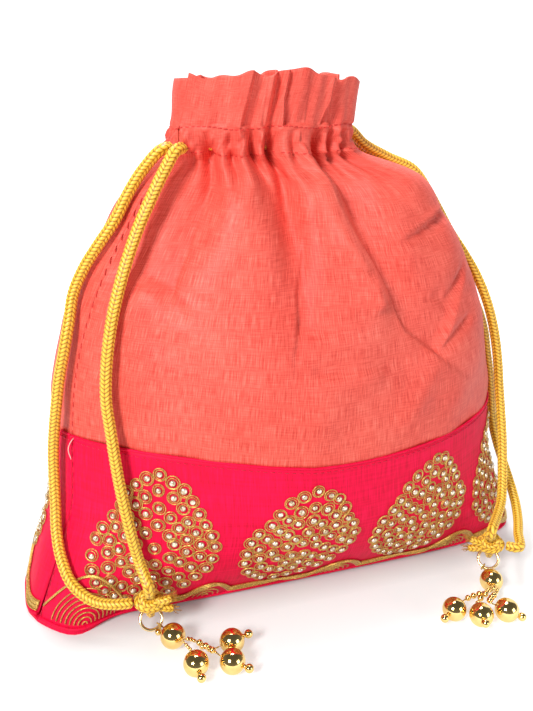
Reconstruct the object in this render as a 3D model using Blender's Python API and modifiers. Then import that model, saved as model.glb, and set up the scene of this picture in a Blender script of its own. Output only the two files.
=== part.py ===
"""A potli: a small drawstring bag that stands on a flat base. A band with couched gold motifs carries a
plain upper, which is gathered into a casing below a ruffle. Two drawstrings leave the casing, one at each
side seam. Each is knotted on to a ring with a tassel of hollow gold beads, which lies on the table.

Metres, +Z up, +X along the width, the front at -Y. The origin is the middle of the base's flat face."""

import math

import bmesh
import bpy
import numpy as np
from mathutils import Matrix, Vector

# Cloth
GAP = 0.0003
CLOTH = 0.0012
BASE_WIDTH = 0.234
BASE_DEPTH = 0.050
BASE_THICKNESS = 0.0015
BAND_HEIGHT = 0.075
BAND_WIDTH = 0.203
BAND_DEPTH = 0.106
SEAM_DIP = 0.005
BELLY_HEIGHT = 0.098
BELLY_WIDTH = 0.197
BELLY_DEPTH = 0.110
SHOULDER_HEIGHT = 0.156
SHOULDER_WIDTH = 0.145
SHOULDER_DEPTH = 0.082
NECK_HEIGHT = 0.184
NECK_WIDTH = 0.079
NECK_DEPTH = 0.041
NECK_SHIFT = -0.005
CASING_HEIGHT = 0.0095
RUFFLE_HEIGHT = 0.018
RUFFLE_WIDTH = 0.084
RUFFLE_DEPTH = 0.050
SIDE_SEAM_TURN = math.radians(22)
END_SWING = 0.15
CASING_TOP = NECK_HEIGHT + CASING_HEIGHT
TOP = CASING_TOP + RUFFLE_HEIGHT

# Each section of the bag: height, width, depth, squareness of its outline, and how far it stands to one side
SECTIONS = (
    (0.0, BASE_WIDTH, BASE_DEPTH, 4.5, 0.0),
    (0.25 * BAND_HEIGHT, BASE_WIDTH - 0.011, BASE_DEPTH + 0.028, 3.0, 0.0),
    (0.6 * BAND_HEIGHT, BAND_WIDTH + 0.004, BAND_DEPTH - 0.006, 2.2, 0.0),
    (BAND_HEIGHT, BAND_WIDTH, BAND_DEPTH, 2.05, 0.0),
    (BELLY_HEIGHT, BELLY_WIDTH, BELLY_DEPTH, 2.0, 0.0),
    (0.5 * (BELLY_HEIGHT + SHOULDER_HEIGHT), 0.5 * (BELLY_WIDTH + SHOULDER_WIDTH) + 0.006,
     0.5 * (BELLY_DEPTH + SHOULDER_DEPTH) + 0.004, 2.0, 0.0),
    (SHOULDER_HEIGHT, SHOULDER_WIDTH, SHOULDER_DEPTH, 2.0, 0.0),
    (NECK_HEIGHT - 0.007, NECK_WIDTH + 0.031, NECK_DEPTH + 0.019, 2.0, 0.2 * NECK_SHIFT),
    (NECK_HEIGHT - 0.001, NECK_WIDTH + 0.010, NECK_DEPTH + 0.006, 2.0, 0.8 * NECK_SHIFT),
    (NECK_HEIGHT + 0.5 * CASING_HEIGHT, NECK_WIDTH, NECK_DEPTH, 2.0, NECK_SHIFT),
    (CASING_TOP, NECK_WIDTH, NECK_DEPTH + 0.001, 2.0, NECK_SHIFT),
    (TOP, RUFFLE_WIDTH, RUFFLE_DEPTH, 2.2, NECK_SHIFT),
)

# Folds run down from the casing. Each has its place across the neck, its place and height at its foot, its
# depth and half width at the neck, and the share of that depth that goes on up through the ruffle.
FRONT_FOLDS = (
    (-0.0405, -0.072, 0.135, 0.0035, 0.0025, 0.2),
    (-0.0335, -0.058, 0.132, 0.0080, 0.0030, 0.25),
    (-0.0245, -0.028, 0.168, 0.0040, 0.0020, 0.4),
    (-0.0160, -0.014, 0.150, 0.0065, 0.0023, 1.0),
    (-0.0080, -0.008, 0.112, 0.0095, 0.0028, 1.0),
    (0.0020, 0.004, 0.170, 0.0030, 0.0020, 1.5),
    (0.0140, 0.050, 0.100, 0.0080, 0.0032, 1.0),
    (0.0215, 0.034, 0.152, 0.0065, 0.0022, 0.6),
    (0.0280, 0.054, 0.156, 0.0045, 0.0022, 0.6),
)
BACK_FOLDS = (
    (-0.0350, -0.062, 0.130, 0.0060, 0.0028, 0.8),
    (-0.0240, -0.034, 0.118, 0.0080, 0.0028, 1.0),
    (-0.0130, -0.016, 0.150, 0.0065, 0.0023, 1.0),
    (-0.0040, -0.002, 0.108, 0.0085, 0.0028, 0.9),
    (0.0060, 0.014, 0.146, 0.0065, 0.0023, 1.0),
    (0.0160, 0.036, 0.116, 0.0080, 0.0028, 1.0),
    (0.0250, 0.058, 0.134, 0.0055, 0.0026, 0.8),
)
FOLD_SPREAD = 3.2
SEAM_CALM = 0.03
EDGE_STEP = 0.0015

# Couched gold embroidery on the band
MOTIF_WIDTH = 0.052
MOTIF_HEIGHT = 0.058
MOTIF_FOOT = 0.010
MOTIF_STANDOFF = 0.0006
MOTIF_RAISED = 0.0014
MOTIF_SCALLOPS = 12
MOTIF_RINGS = (0.35, 0.7)
FRONT_MOTIFS = (0.037, 0.099, 0.157, 0.213)
BACK_MOTIFS = (0.040, 0.099, 0.157, 0.213)
BORDER_FOOT = 0.0045
BORDER_LINE = 0.0045
MOON_HEIGHT = 0.012
MOON_WIDTH = 0.025
BORDER_RAISED = 0.0010
BORDER_COLUMNS = 41

# Drawstrings
CORD = 0.0045
CORD_CLEARANCE = 0.0008
CORD_PITCH = CORD + 0.0006
CORD_OPENING = CORD + CORD_PITCH + 0.0016
SEAM_OPENING_RISE = 0.0004
CORD_STEP = 2.4 * CORD
KNOT_RADII = (0.0062, 0.0048, 0.0050)
EYE_RADIUS = 0.0032
EYE_WIDTH = 0.0042
EYE_HOLE = 0.00135
LEFT_CORD_LEVEL = NECK_HEIGHT + 0.5 * (CASING_HEIGHT - CORD - GAP)
RIGHT_CORD_LEVEL = LEFT_CORD_LEVEL + CORD + GAP

# Rings and beads
RING_RADIUS = 0.00435
RING_WIRE = 0.00065
RING_LEAN = math.radians(50.5)
THREAD = 0.00045
LOOP_RADIUS = 0.00135
LOOP_WIRE = 0.00035
LARGE_BEAD = 0.0050
STOPPER_BEAD = 0.00175
SMALL_BEAD = 0.00135
BEAD_HOLE = THREAD + GAP
BEADS_ON_STRAND = 5
FIRST_BEAD = 0.0072

# Routes of the four strands, from the casing to their knot
LEFT_FRONT_ROUTE = (
    (-0.0496, -0.0140, 0.1800), (-0.0572, -0.0168, 0.1684), (-0.0632, -0.0185, 0.1568),
    (-0.0684, -0.0211, 0.1448), (-0.0726, -0.0230, 0.1330), (-0.0766, -0.0250, 0.1163),
    (-0.0787, -0.0270, 0.0978), (-0.0779, -0.0292, 0.0835), (-0.0770, -0.0316, 0.0688),
    (-0.0752, -0.0354, 0.0528), (-0.0730, -0.0390, 0.0388), (-0.0708, -0.0408, 0.0290),
)
LEFT_REAR_ROUTE = (
    (-0.0580, -0.0068, 0.1780),
    (-0.0690, -0.0090, 0.1613), (-0.0782, -0.0068, 0.1484), (-0.0840, -0.0048, 0.1386),
    (-0.0902, -0.0088, 0.1170), (-0.0929, -0.0086, 0.1074), (-0.0963, -0.0080, 0.0906),
    (-0.0992, -0.0070, 0.0710), (-0.1004, -0.0096, 0.0525), (-0.1012, -0.0186, 0.0338),
    (-0.0990, -0.0266, 0.0246), (-0.0936, -0.0324, 0.0178), (-0.0850, -0.0370, 0.0162),
)
RIGHT_FRONT_ROUTE = (
    (0.0515, 0.0111, 0.1812), (0.0640, 0.0102, 0.1730), (0.0736, 0.0085, 0.1594),
    (0.0821, 0.0057, 0.1450), (0.0893, -0.0011, 0.1320), (0.0946, -0.0070, 0.1180),
    (0.0986, -0.0098, 0.1040), (0.1009, -0.0120, 0.0900), (0.1016, -0.0154, 0.0740),
    (0.1014, -0.0210, 0.0560), (0.0990, -0.0275, 0.0420), (0.0950, -0.0350, 0.0310),
)
RIGHT_REAR_ROUTE = (
    (0.0450, 0.0163, 0.1824), (0.0585, 0.0180, 0.1742), (0.0692, 0.0177, 0.1598),
    (0.0781, 0.0159, 0.1450), (0.0874, 0.0108, 0.1320), (0.0947, 0.0062, 0.1180),
    (0.1000, 0.0021, 0.1040), (0.1032, -0.0001, 0.0880), (0.1056, -0.0022, 0.0720),
    (0.1072, -0.0040, 0.0560), (0.1096, -0.0080, 0.0420), (0.1110, -0.0150, 0.0310),
    (0.1085, -0.0270, 0.0225), (0.1035, -0.0375, 0.0185),
)

# Each tassel: where its ring sits in the knot, which way the ring faces, the knot's middle, the place on the
# ring of the thread loop, the crown bead with its axis, and each end bead with its axis
TASSELS = {
    "left": dict(
        seat=(-0.0687, -0.0376, 0.0108), facing=(-0.125, -0.992), knot=(-0.0670, -0.0410, 0.0165),
        hold=math.radians(50), fan=1, crown=(-0.0622, -0.0500), crown_axis=(0.75, -0.65, 0.05),
        ends=(
            ("back", (-0.0409, -0.0598), (0.97, 0.12, 0.12)),
            ("front", (-0.0436, -0.0703), (0.72, -0.66, -0.10)),
            ("near", (-0.0568, -0.0672), (0.05, -0.99, -0.10)),
        ),
    ),
    "right": dict(
        seat=(0.0841, -0.0450, 0.0108), facing=(-0.61, -0.79), knot=(0.0842, -0.0498, 0.0165),
        hold=math.radians(-25), fan=-1, crown=(0.0768, -0.0584), crown_axis=(-0.35, -0.93, 0.05),
        ends=(
            ("back", (0.0514, -0.0700), (-0.89, -0.44, -0.10)),
            ("front", (0.0600, -0.0765), (-0.35, -0.90, 0.20)),
            ("near", (0.0716, -0.0772), (0.80, -0.35, -0.40)),
        ),
    ),
}

# Colours
CORAL = (0.90, 0.135, 0.095)
PINK = (0.88, 0.005, 0.065)
GOLD_CORD = (0.80, 0.50, 0.02)
GOLD_METAL = (0.90, 0.66, 0.25)
GOLD_WIRE = (0.62, 0.40, 0.09)


def clear_scene():
    for obj in list(bpy.data.objects):
        bpy.data.objects.remove(obj, do_unlink=True)


def new_collection(name):
    collection = bpy.data.collections.new(name)
    bpy.context.scene.collection.children.link(collection)
    return collection


def material(name, colour, roughness, metallic=0.0):
    made = bpy.data.materials.new(name)
    made.use_nodes = True
    shader = made.node_tree.nodes["Principled BSDF"]
    shader.inputs["Base Color"].default_value = (*colour, 1.0)
    shader.inputs["Roughness"].default_value = roughness
    shader.inputs["Metallic"].default_value = metallic
    return made


def between(heights, values, height):
    """A smooth curve through the sections, as a Hermite spline with the slopes of its neighbours."""
    slopes = np.gradient(values, heights, axis=0)
    i = int(np.clip(np.searchsorted(heights, height) - 1, 0, len(heights) - 2))
    span = heights[i + 1] - heights[i]
    t = (height - heights[i]) / span
    rise = t * t * (3 - 2 * t)
    return (
        values[i] * (1 - rise)
        + values[i + 1] * rise
        + span * slopes[i] * t * (1 - t) ** 2
        - span * slopes[i + 1] * t * t * (1 - t)
    )


def section(height):
    """Half width, half depth, squareness and shift of the outline at this height."""
    table = np.array(SECTIONS)
    width, depth, squareness, shift = between(table[:, 0], table[:, 1:], height)
    return width / 2, depth / 2, squareness, shift


def outline(height):
    """The bag's outline at this height, as a closed ring that starts at the left side seam and goes along
    the front, with the distance travelled to each point."""
    half_width, half_depth, squareness, shift = section(height)
    turn = np.linspace(0, 2 * math.pi, 721) + math.pi + SIDE_SEAM_TURN
    c, s = np.cos(turn), np.sin(turn)
    x = half_width * np.sign(c) * np.abs(c) ** (2 / squareness)
    y = half_depth * np.sign(s) * np.abs(s) ** (2 / squareness)
    lift = min(height / BAND_HEIGHT, 1) * min(max(0, TOP - height) / (TOP - BELLY_HEIGHT), 1)
    y = y + END_SWING * lift * np.maximum(0, -x - 0.05 * half_width)
    points = np.stack([x + shift, y], axis=1)
    steps = np.linalg.norm(np.diff(points, axis=0), axis=1)
    return points, np.concatenate([[0], np.cumsum(steps)])


def fold_depth(x, folds, height):
    """How far the cloth goes in at these places, from all the folds of one side."""
    depth = np.zeros_like(x)
    for neck_x, foot_x, foot_height, deep, half_width, above in folds:
        run = np.clip((height - foot_height) / (NECK_HEIGHT - foot_height), 0, 1)
        place = foot_x + (neck_x - foot_x) * run
        spread = half_width * (1 + FOLD_SPREAD * (1 - run))
        ruffled = 1 + (above - 1) * np.clip((height - NECK_HEIGHT) / CASING_HEIGHT, 0, 1)
        depth += deep * ruffled * run * run * (3 - 2 * run) * np.exp(-(((x - place) / spread) ** 2))
    return depth


def cloth_row(height, shares, proud=0.0):
    """Points of the cloth at this height, at shares of the way round from the left side seam."""
    points, travelled = outline(height)
    shares = np.asarray(shares)

    def place(at):
        at = np.mod(at, travelled[-1])
        return np.stack([np.interp(at, travelled, points[:, i]) for i in (0, 1)], axis=1)

    at = shares * travelled[-1]
    here = place(at)
    along = place(at + EDGE_STEP) - place(at - EDGE_STEP)
    along /= np.linalg.norm(along, axis=1, keepdims=True)
    outward = np.stack([along[:, 1], -along[:, 0]], axis=1)
    half_depth = section(height)[1]
    slack = min(height / BAND_HEIGHT, max(0, NECK_HEIGHT - height) / (NECK_HEIGHT - BAND_HEIGHT))
    dip = SEAM_DIP * slack * np.minimum(1, (here[:, 1] / half_depth) ** 2)
    deep = np.where(shares < 0.5, fold_depth(here[:, 0], FRONT_FOLDS, height),
                    fold_depth(here[:, 0], BACK_FOLDS, height))
    from_seam = np.abs(np.mod(shares + 0.25, 0.5) - 0.25)
    deep = deep * np.clip(from_seam / SEAM_CALM, 0, 1)
    here = here + outward * (proud - deep)[:, None]
    return np.column_stack([here, height - dip])


def link(obj, collection, look):
    if obj.name not in collection.objects:
        for held in list(obj.users_collection):
            held.objects.unlink(obj)
        collection.objects.link(obj)
    obj.data.materials.clear()
    obj.data.materials.append(look)
    return obj


def mesh_object(name, vertices, faces, collection, look, smooth=True):
    mesh = bpy.data.meshes.new(name)
    mesh.from_pydata([tuple(float(c) for c in v) for v in vertices], [], faces)
    if smooth:
        mesh.shade_smooth()
    return link(bpy.data.objects.new(name, mesh), collection, look)


def seam_edge(height, opening):
    """Half the gap at a side seam, as a share of the way round: wide where the drawstrings come out."""
    wide = opening and NECK_HEIGHT - GAP - SEAM_OPENING_RISE < height < CASING_TOP + GAP + SEAM_OPENING_RISE
    return (CORD_OPENING if wide else GAP) / 2 / outline(height)[1][-1]


def cloth_panel(name, start, heights, columns, opening, collection, look):
    """One side of the bag, from side seam to side seam: its outer and inner faces and the four edges between."""
    width = columns + 1
    shells = []
    for proud in (0.0, -CLOTH):
        for height in heights:
            edge = seam_edge(height, opening)
            shares = np.linspace(start + edge, start + 0.5 - edge, width)
            shells.append(cloth_row(height, shares, proud))
    inner = len(heights) * width
    last = inner - width
    faces = []
    for i in range(len(heights) - 1):
        for j in range(columns):
            a = i * width + j
            quad = (a, a + 1, a + width + 1, a + width)
            faces += [quad, tuple(v + inner for v in quad[::-1])]
        left, right = i * width, i * width + columns
        faces.append((left, left + width, left + width + inner, left + inner))
        faces.append((right + width, right, right + inner, right + width + inner))
    for j in range(columns):
        faces.append((j + 1, j, j + inner, j + 1 + inner))
        faces.append((last + j, last + j + 1, last + j + 1 + inner, last + j + inner))
    return mesh_object(name, np.concatenate(shells), faces, collection, look)


def base_panel(collection, look):
    curve = bpy.data.curves.new("base_panel", "CURVE")
    curve.dimensions = "2D"
    curve.fill_mode = "BOTH"
    curve.extrude = BASE_THICKNESS / 2
    rim = cloth_row(0.0, np.linspace(0, 1, 49)[:-1])
    spline = curve.splines.new("POLY")
    spline.points.add(len(rim) - 1)
    for point, (x, y, _) in zip(spline.points, rim):
        point.co = (x, y, 0, 1)
    spline.use_cyclic_u = True
    base = link(bpy.data.objects.new("base_panel", curve), collection, look)
    base.location.z = BASE_THICKNESS / 2
    return base


def on_band(share, height, proud):
    return cloth_row(height, [share], proud)[0]


def motif_reach(angle):
    """Distance from a motif's middle to its edge: a round form drawn up to a point, with a scalloped rim."""
    up = max(0, 1 - abs(angle) / math.radians(75))
    point = 1 + (MOTIF_HEIGHT / MOTIF_WIDTH * 2 - 2) * up**1.3
    return MOTIF_WIDTH / 2 * point


def motif_share(distance):
    """A motif's distance from the side seam as a share of the way round."""
    return distance / outline(MOTIF_FOOT + MOTIF_WIDTH / 2)[1][-1]


def motif(name, start, distance, collection, look):
    """A raised patch of gold rosettes that follows the band."""
    middle = MOTIF_FOOT + MOTIF_WIDTH / 2
    around = outline(middle)[1][-1]
    share = start + motif_share(distance)
    rim = 2 * MOTIF_SCALLOPS
    edge = []
    for i in range(rim):
        angle = 2 * math.pi * i / rim - math.pi
        reach = motif_reach(angle) * (1.0 if i % 2 == 0 else 0.955)
        edge.append((reach * math.sin(angle), reach * math.cos(angle)))
    flat = [(0.0, 0.0)]
    for ring in MOTIF_RINGS:
        flat += [(ring * a, ring * b) for a, b in edge[::2]]
    flat += edge
    sides = []
    for proud in (MOTIF_STANDOFF, MOTIF_STANDOFF + MOTIF_RAISED):
        sides += [on_band(share + a / around, middle + b, proud) for a, b in flat]
    count, step = len(flat), MOTIF_SCALLOPS
    outer = 1 + len(MOTIF_RINGS) * step
    top = []
    for k in range(step):
        n = (k + 1) % step
        top.append((0, 1 + n, 1 + k))
        for ring in range(len(MOTIF_RINGS) - 1):
            low, high = 1 + ring * step, 1 + (ring + 1) * step
            top.append((low + k, low + n, high + n, high + k))
        low = outer - step
        rim_a, tip, rim_b = outer + 2 * k, outer + 2 * k + 1, outer + (2 * k + 2) % rim
        top += [(low + k, low + n, tip), (low + k, tip, rim_a), (low + n, rim_b, tip)]
    faces = [tuple(v + count for v in face) for face in top] + [face[::-1] for face in top]
    for i in range(rim):
        a, b = outer + i, outer + (i + 1) % rim
        faces.append((a, b, b + count, a + count)[::-1])
    return mesh_object(name, sides, faces, collection, look, smooth=False)


def border(name, start, motifs, collection, look):
    """The couched gold line that runs below the motifs and swells into a half moon between them."""
    around = outline(BORDER_FOOT)[1][-1]
    places = [motif_share(distance) for distance in motifs]
    gaps = [0.0, *(0.5 * (a + b) for a, b in zip(places, places[1:])), 0.5]
    edge = 2.5 * GAP / around
    shares = np.linspace(start + edge, start + 0.5 - edge, BORDER_COLUMNS)
    points = []
    rows = (0, 1 / 3, 2 / 3, 1)
    for share in shares:
        off = min(abs(share - start - gap) for gap in gaps) * around / (MOON_WIDTH / 2)
        swell = max(0.0, math.cos(off * math.pi / 2)) if off < 1 else 0.0
        tall = BORDER_LINE + MOON_HEIGHT * swell
        for proud, heights in ((MOTIF_STANDOFF, rows), (MOTIF_STANDOFF + BORDER_RAISED, rows[::-1])):
            points += [on_band(share, BORDER_FOOT + tall * row, proud) for row in heights]
    sides = 2 * len(rows)
    faces = [tuple(range(sides))[::-1], tuple(range(len(points) - sides, len(points)))]
    for i in range(len(shares) - 1):
        for a in range(sides):
            b = (a + 1) % sides
            faces.append((sides * i + a, sides * i + b, sides * (i + 1) + b, sides * (i + 1) + a))
    return mesh_object(name, points, faces, collection, look, smooth=False)


def smooth_path(route, step):
    """Evenly spaced points of a smooth curve through the route."""
    points = np.array(route, float)
    lengths = np.concatenate([[0], np.cumsum(np.linalg.norm(np.diff(points, axis=0), axis=1))])
    fine = np.linspace(0, lengths[-1], 400)
    curve = np.array([between(lengths, points, at) for at in fine])
    run = np.concatenate([[0], np.cumsum(np.linalg.norm(np.diff(curve, axis=0), axis=1))])
    count = max(2, round(run[-1] / step)) + 1
    at = np.linspace(0, run[-1], count)
    return np.stack([np.interp(at, run, curve[:, i]) for i in range(3)], axis=1)


def tube(name, path, radius, collection, look):
    curve = bpy.data.curves.new(name, "CURVE")
    curve.dimensions = "3D"
    curve.bevel_depth = radius
    curve.bevel_resolution = 2
    curve.use_fill_caps = True
    spline = curve.splines.new("POLY")
    spline.points.add(len(path) - 1)
    for point, place in zip(spline.points, path):
        point.co = (*place, 1)
    return link(bpy.data.objects.new(name, curve), collection, look)


def beside_seam(seam, level, aside, out):
    """A place at a side seam: this far along the cloth from it, and this far out from the cloth."""
    return cloth_row(level, [seam + aside / outline(level)[1][-1]], out)[0]


def inside_casing(seam, level):
    """The run of one drawstring: in at a side seam, round the gathered casing behind its deepest fold, and
    out beside itself."""
    half_width, half_depth, _, shift = section(level)
    inset = max(fold[3] for fold in FRONT_FOLDS + BACK_FOLDS) + CLOTH + CORD / 2 + CORD_CLEARANCE
    turn = 2 * math.pi * seam + math.pi + SIDE_SEAM_TURN + np.radians(np.linspace(38, 322, 26))
    width, depth = half_width - inset, half_depth - inset
    loop = [(width * math.cos(a) + shift, depth * math.sin(a), level) for a in turn]
    outside, inside = [
        [beside_seam(seam, level, aside * CORD_PITCH / 2, out) for aside in (1, -1)] for out in (GAP, -CORD)
    ]
    return [outside[0], *smooth_path([inside[0], *loop, inside[1]], 1.5 * CORD), outside[1]]


def strand_route(seam, level, aside, route, arrival):
    """A free strand: out of its opening, along its route and to its knot."""
    start, clear = (beside_seam(seam, level, aside, out) for out in (3 * GAP, CORD))
    return [start, *smooth_path([clear, *route, arrival[0]], CORD_STEP), arrival[1]]


def turned(name, profile, steps, place, axis, collection, look):
    """A turned piece: a closed profile of radius and height, swept round its axis."""
    mesh = bpy.data.meshes.new(name)
    count = len(profile)
    mesh.from_pydata([(r, 0, z) for r, z in profile], [(i, (i + 1) % count) for i in range(count)], [])
    obj = link(bpy.data.objects.new(name, mesh), collection, look)
    screw = obj.modifiers.new("turn", "SCREW")
    screw.steps = steps
    screw.render_steps = steps
    screw.use_merge_vertices = True
    screw.merge_threshold = 0.00001
    screw.use_smooth_shade = True
    obj.location = place
    obj.rotation_euler = Vector(axis).to_track_quat("Z", "Y").to_euler()
    return obj


def bead(name, radius, steps, rows, place, axis, collection, look):
    """A hollow gold bead, open at both poles for its thread."""
    rim = math.asin(BEAD_HOLE / radius)
    angles = np.linspace(rim, math.pi - rim, rows)
    profile = [(radius * math.sin(a), radius * math.cos(a)) for a in angles]
    return turned(name, profile, steps, place, axis, collection, look)


def unit(vector):
    return np.array(vector, float) / np.linalg.norm(vector)


def ring_frame(tassel):
    """The ring's middle, its direction up its own slope, and its direction across."""
    facing = unit((*tassel["facing"], 0))
    up = -facing * math.cos(RING_LEAN) + np.array([0, 0, math.sin(RING_LEAN)])
    across = np.cross((0, 0, 1), facing)
    return np.array(tassel["seat"]) - up * RING_RADIUS, up, across


def knot_frame(tassel):
    """The knot's middle, the ring's seat in its eye, the direction from seat to middle, and its long side."""
    seat = np.array(tassel["seat"])
    across = ring_frame(tassel)[2]
    offset = np.array(tassel["knot"]) - seat
    offset -= across * np.dot(offset, across)
    return seat + offset, seat, unit(offset), across


def arrival(tassel, place):
    """The last points of a strand: the front one comes down on to its knot, the rear one in from the side."""
    middle, _, towards, side = knot_frame(tassel)
    outwards = side * np.sign(side[0] * middle[0])
    way, radius = (towards, KNOT_RADII[2]) if place == "front" else (outwards, KNOT_RADII[0])
    return [middle + way * (radius + reach) for reach in (1.2 * CORD, 2 * GAP)]


def ring_mesh_object(name, middle, up, across, radius, wire, steps, sides, collection, look):
    bpy.ops.mesh.primitive_torus_add(
        major_radius=radius, minor_radius=wire, major_segments=steps, minor_segments=sides
    )
    ring = bpy.context.object
    ring.name = name
    ring.data.name = name
    normal = np.cross(across, up)
    turn = Matrix((across, up, normal)).transposed()
    ring.data.transform(turn.to_4x4())
    ring.data.transform(Matrix.Translation(middle))
    ring.data.shade_smooth()
    return link(ring, collection, look)


def boolean(obj, other, operation):
    change = obj.modifiers.new(operation.lower(), "BOOLEAN")
    change.operation = operation
    change.object = other
    change.solver = "EXACT"


def knot(name, tassel, collection, cutters, look):
    """The knot of a drawstring: a lump of wrapped cord above an eye that the ring passes through."""
    middle, seat, towards, side = knot_frame(tassel)
    lump_mesh = bpy.data.meshes.new(name)
    shape = bmesh.new()
    bmesh.ops.create_uvsphere(shape, u_segments=14, v_segments=8, radius=1)
    shape.to_mesh(lump_mesh)
    shape.free()
    lump_mesh.shade_smooth()
    lump = link(bpy.data.objects.new(name, lump_mesh), collection, look)
    turn = Matrix((side, np.cross(towards, side), towards)).transposed().to_4x4()
    lump_mesh.transform(turn @ Matrix.Diagonal((*KNOT_RADII, 1)))
    lump_mesh.transform(Matrix.Translation(middle))
    for part, radius, length in (("eye", EYE_RADIUS, EYE_WIDTH), ("tunnel", EYE_HOLE, 3 * EYE_WIDTH)):
        mesh = bpy.data.meshes.new(f"{name}_{part}")
        shape = bmesh.new()
        bmesh.ops.create_cone(shape, cap_ends=True, segments=16, radius1=radius, radius2=radius, depth=length)
        shape.to_mesh(mesh)
        shape.free()
        mesh.transform(Vector(side).to_track_quat("Z", "Y").to_matrix().to_4x4())
        mesh.transform(Matrix.Translation(seat))
        cutter = link(bpy.data.objects.new(f"{name}_{part}", mesh), cutters, look)
        cutter.hide_render = True
        cutter.display_type = "WIRE"
        boolean(lump, cutter, "UNION" if part == "eye" else "DIFFERENCE")
    return lump


def strung(name, path, swellings, collection, look):
    """A thread along a path, with beads as round swellings at their distances along it."""
    points = np.array(path, float)
    run = np.concatenate([[0], np.cumsum(np.linalg.norm(np.diff(points, axis=0), axis=1))])
    stations = [(at, THREAD) for at in run if all(abs(at - spot) > SMALL_BEAD for spot in swellings)]
    for at in swellings:
        for share in (-1, -0.45, 0.45, 1):
            radius = max(THREAD, SMALL_BEAD * math.sqrt(1 - share * share))
            stations.append((at + share * SMALL_BEAD, radius))
    stations.sort()
    places = [np.array([np.interp(at, run, points[:, i]) for i in range(3)]) for at, _ in stations]
    vertices, sides = [], 5
    for k, (place, (_, radius)) in enumerate(zip(places, stations)):
        ahead = unit(places[min(k + 1, len(places) - 1)] - places[max(k - 1, 0)])
        across = unit(np.cross((0, 0, 1), ahead))
        other = np.cross(ahead, across)
        for j in range(sides):
            a = 2 * math.pi * j / sides
            vertices.append(place + radius * (math.cos(a) * across + math.sin(a) * other))
    last = len(vertices) - sides
    faces = [tuple(range(sides))[::-1], tuple(range(last, last + sides))]
    for k in range(len(stations) - 1):
        for j in range(sides):
            a, b = k * sides + j, k * sides + (j + 1) % sides
            faces.append((a, b, b + sides, a + sides))
    return mesh_object(name, vertices, faces, collection, look)


def bend(start, start_way, end, end_way, count=8):
    """Points of a curve that leaves one place and reaches another in the given directions."""
    reach = 0.45 * np.linalg.norm(end - start)
    controls = (start, start + reach * unit(start_way), end - reach * unit(end_way), end)
    t = np.linspace(0, 1, count)[:, None]
    return (
        (1 - t) ** 3 * controls[0] + 3 * t * (1 - t) ** 2 * controls[1]
        + 3 * t * t * (1 - t) * controls[2] + t**3 * controls[3]
    )


def hang(objects, name, place, parent, collection):
    """Parents objects to an empty on their joint's axis."""
    pivot = bpy.data.objects.new(name, None)
    pivot.empty_display_size = 0.004
    pivot.location = place
    collection.objects.link(pivot)
    bpy.context.view_layer.update()
    for obj in (*objects, *([pivot] if parent else [])):
        above = pivot if obj is not pivot else parent
        bpy.context.view_layer.update()
        world = obj.matrix_world.copy()
        obj.parent = above
        obj.matrix_parent_inverse = above.matrix_world.inverted()
        obj.matrix_world = world
    return pivot


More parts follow.
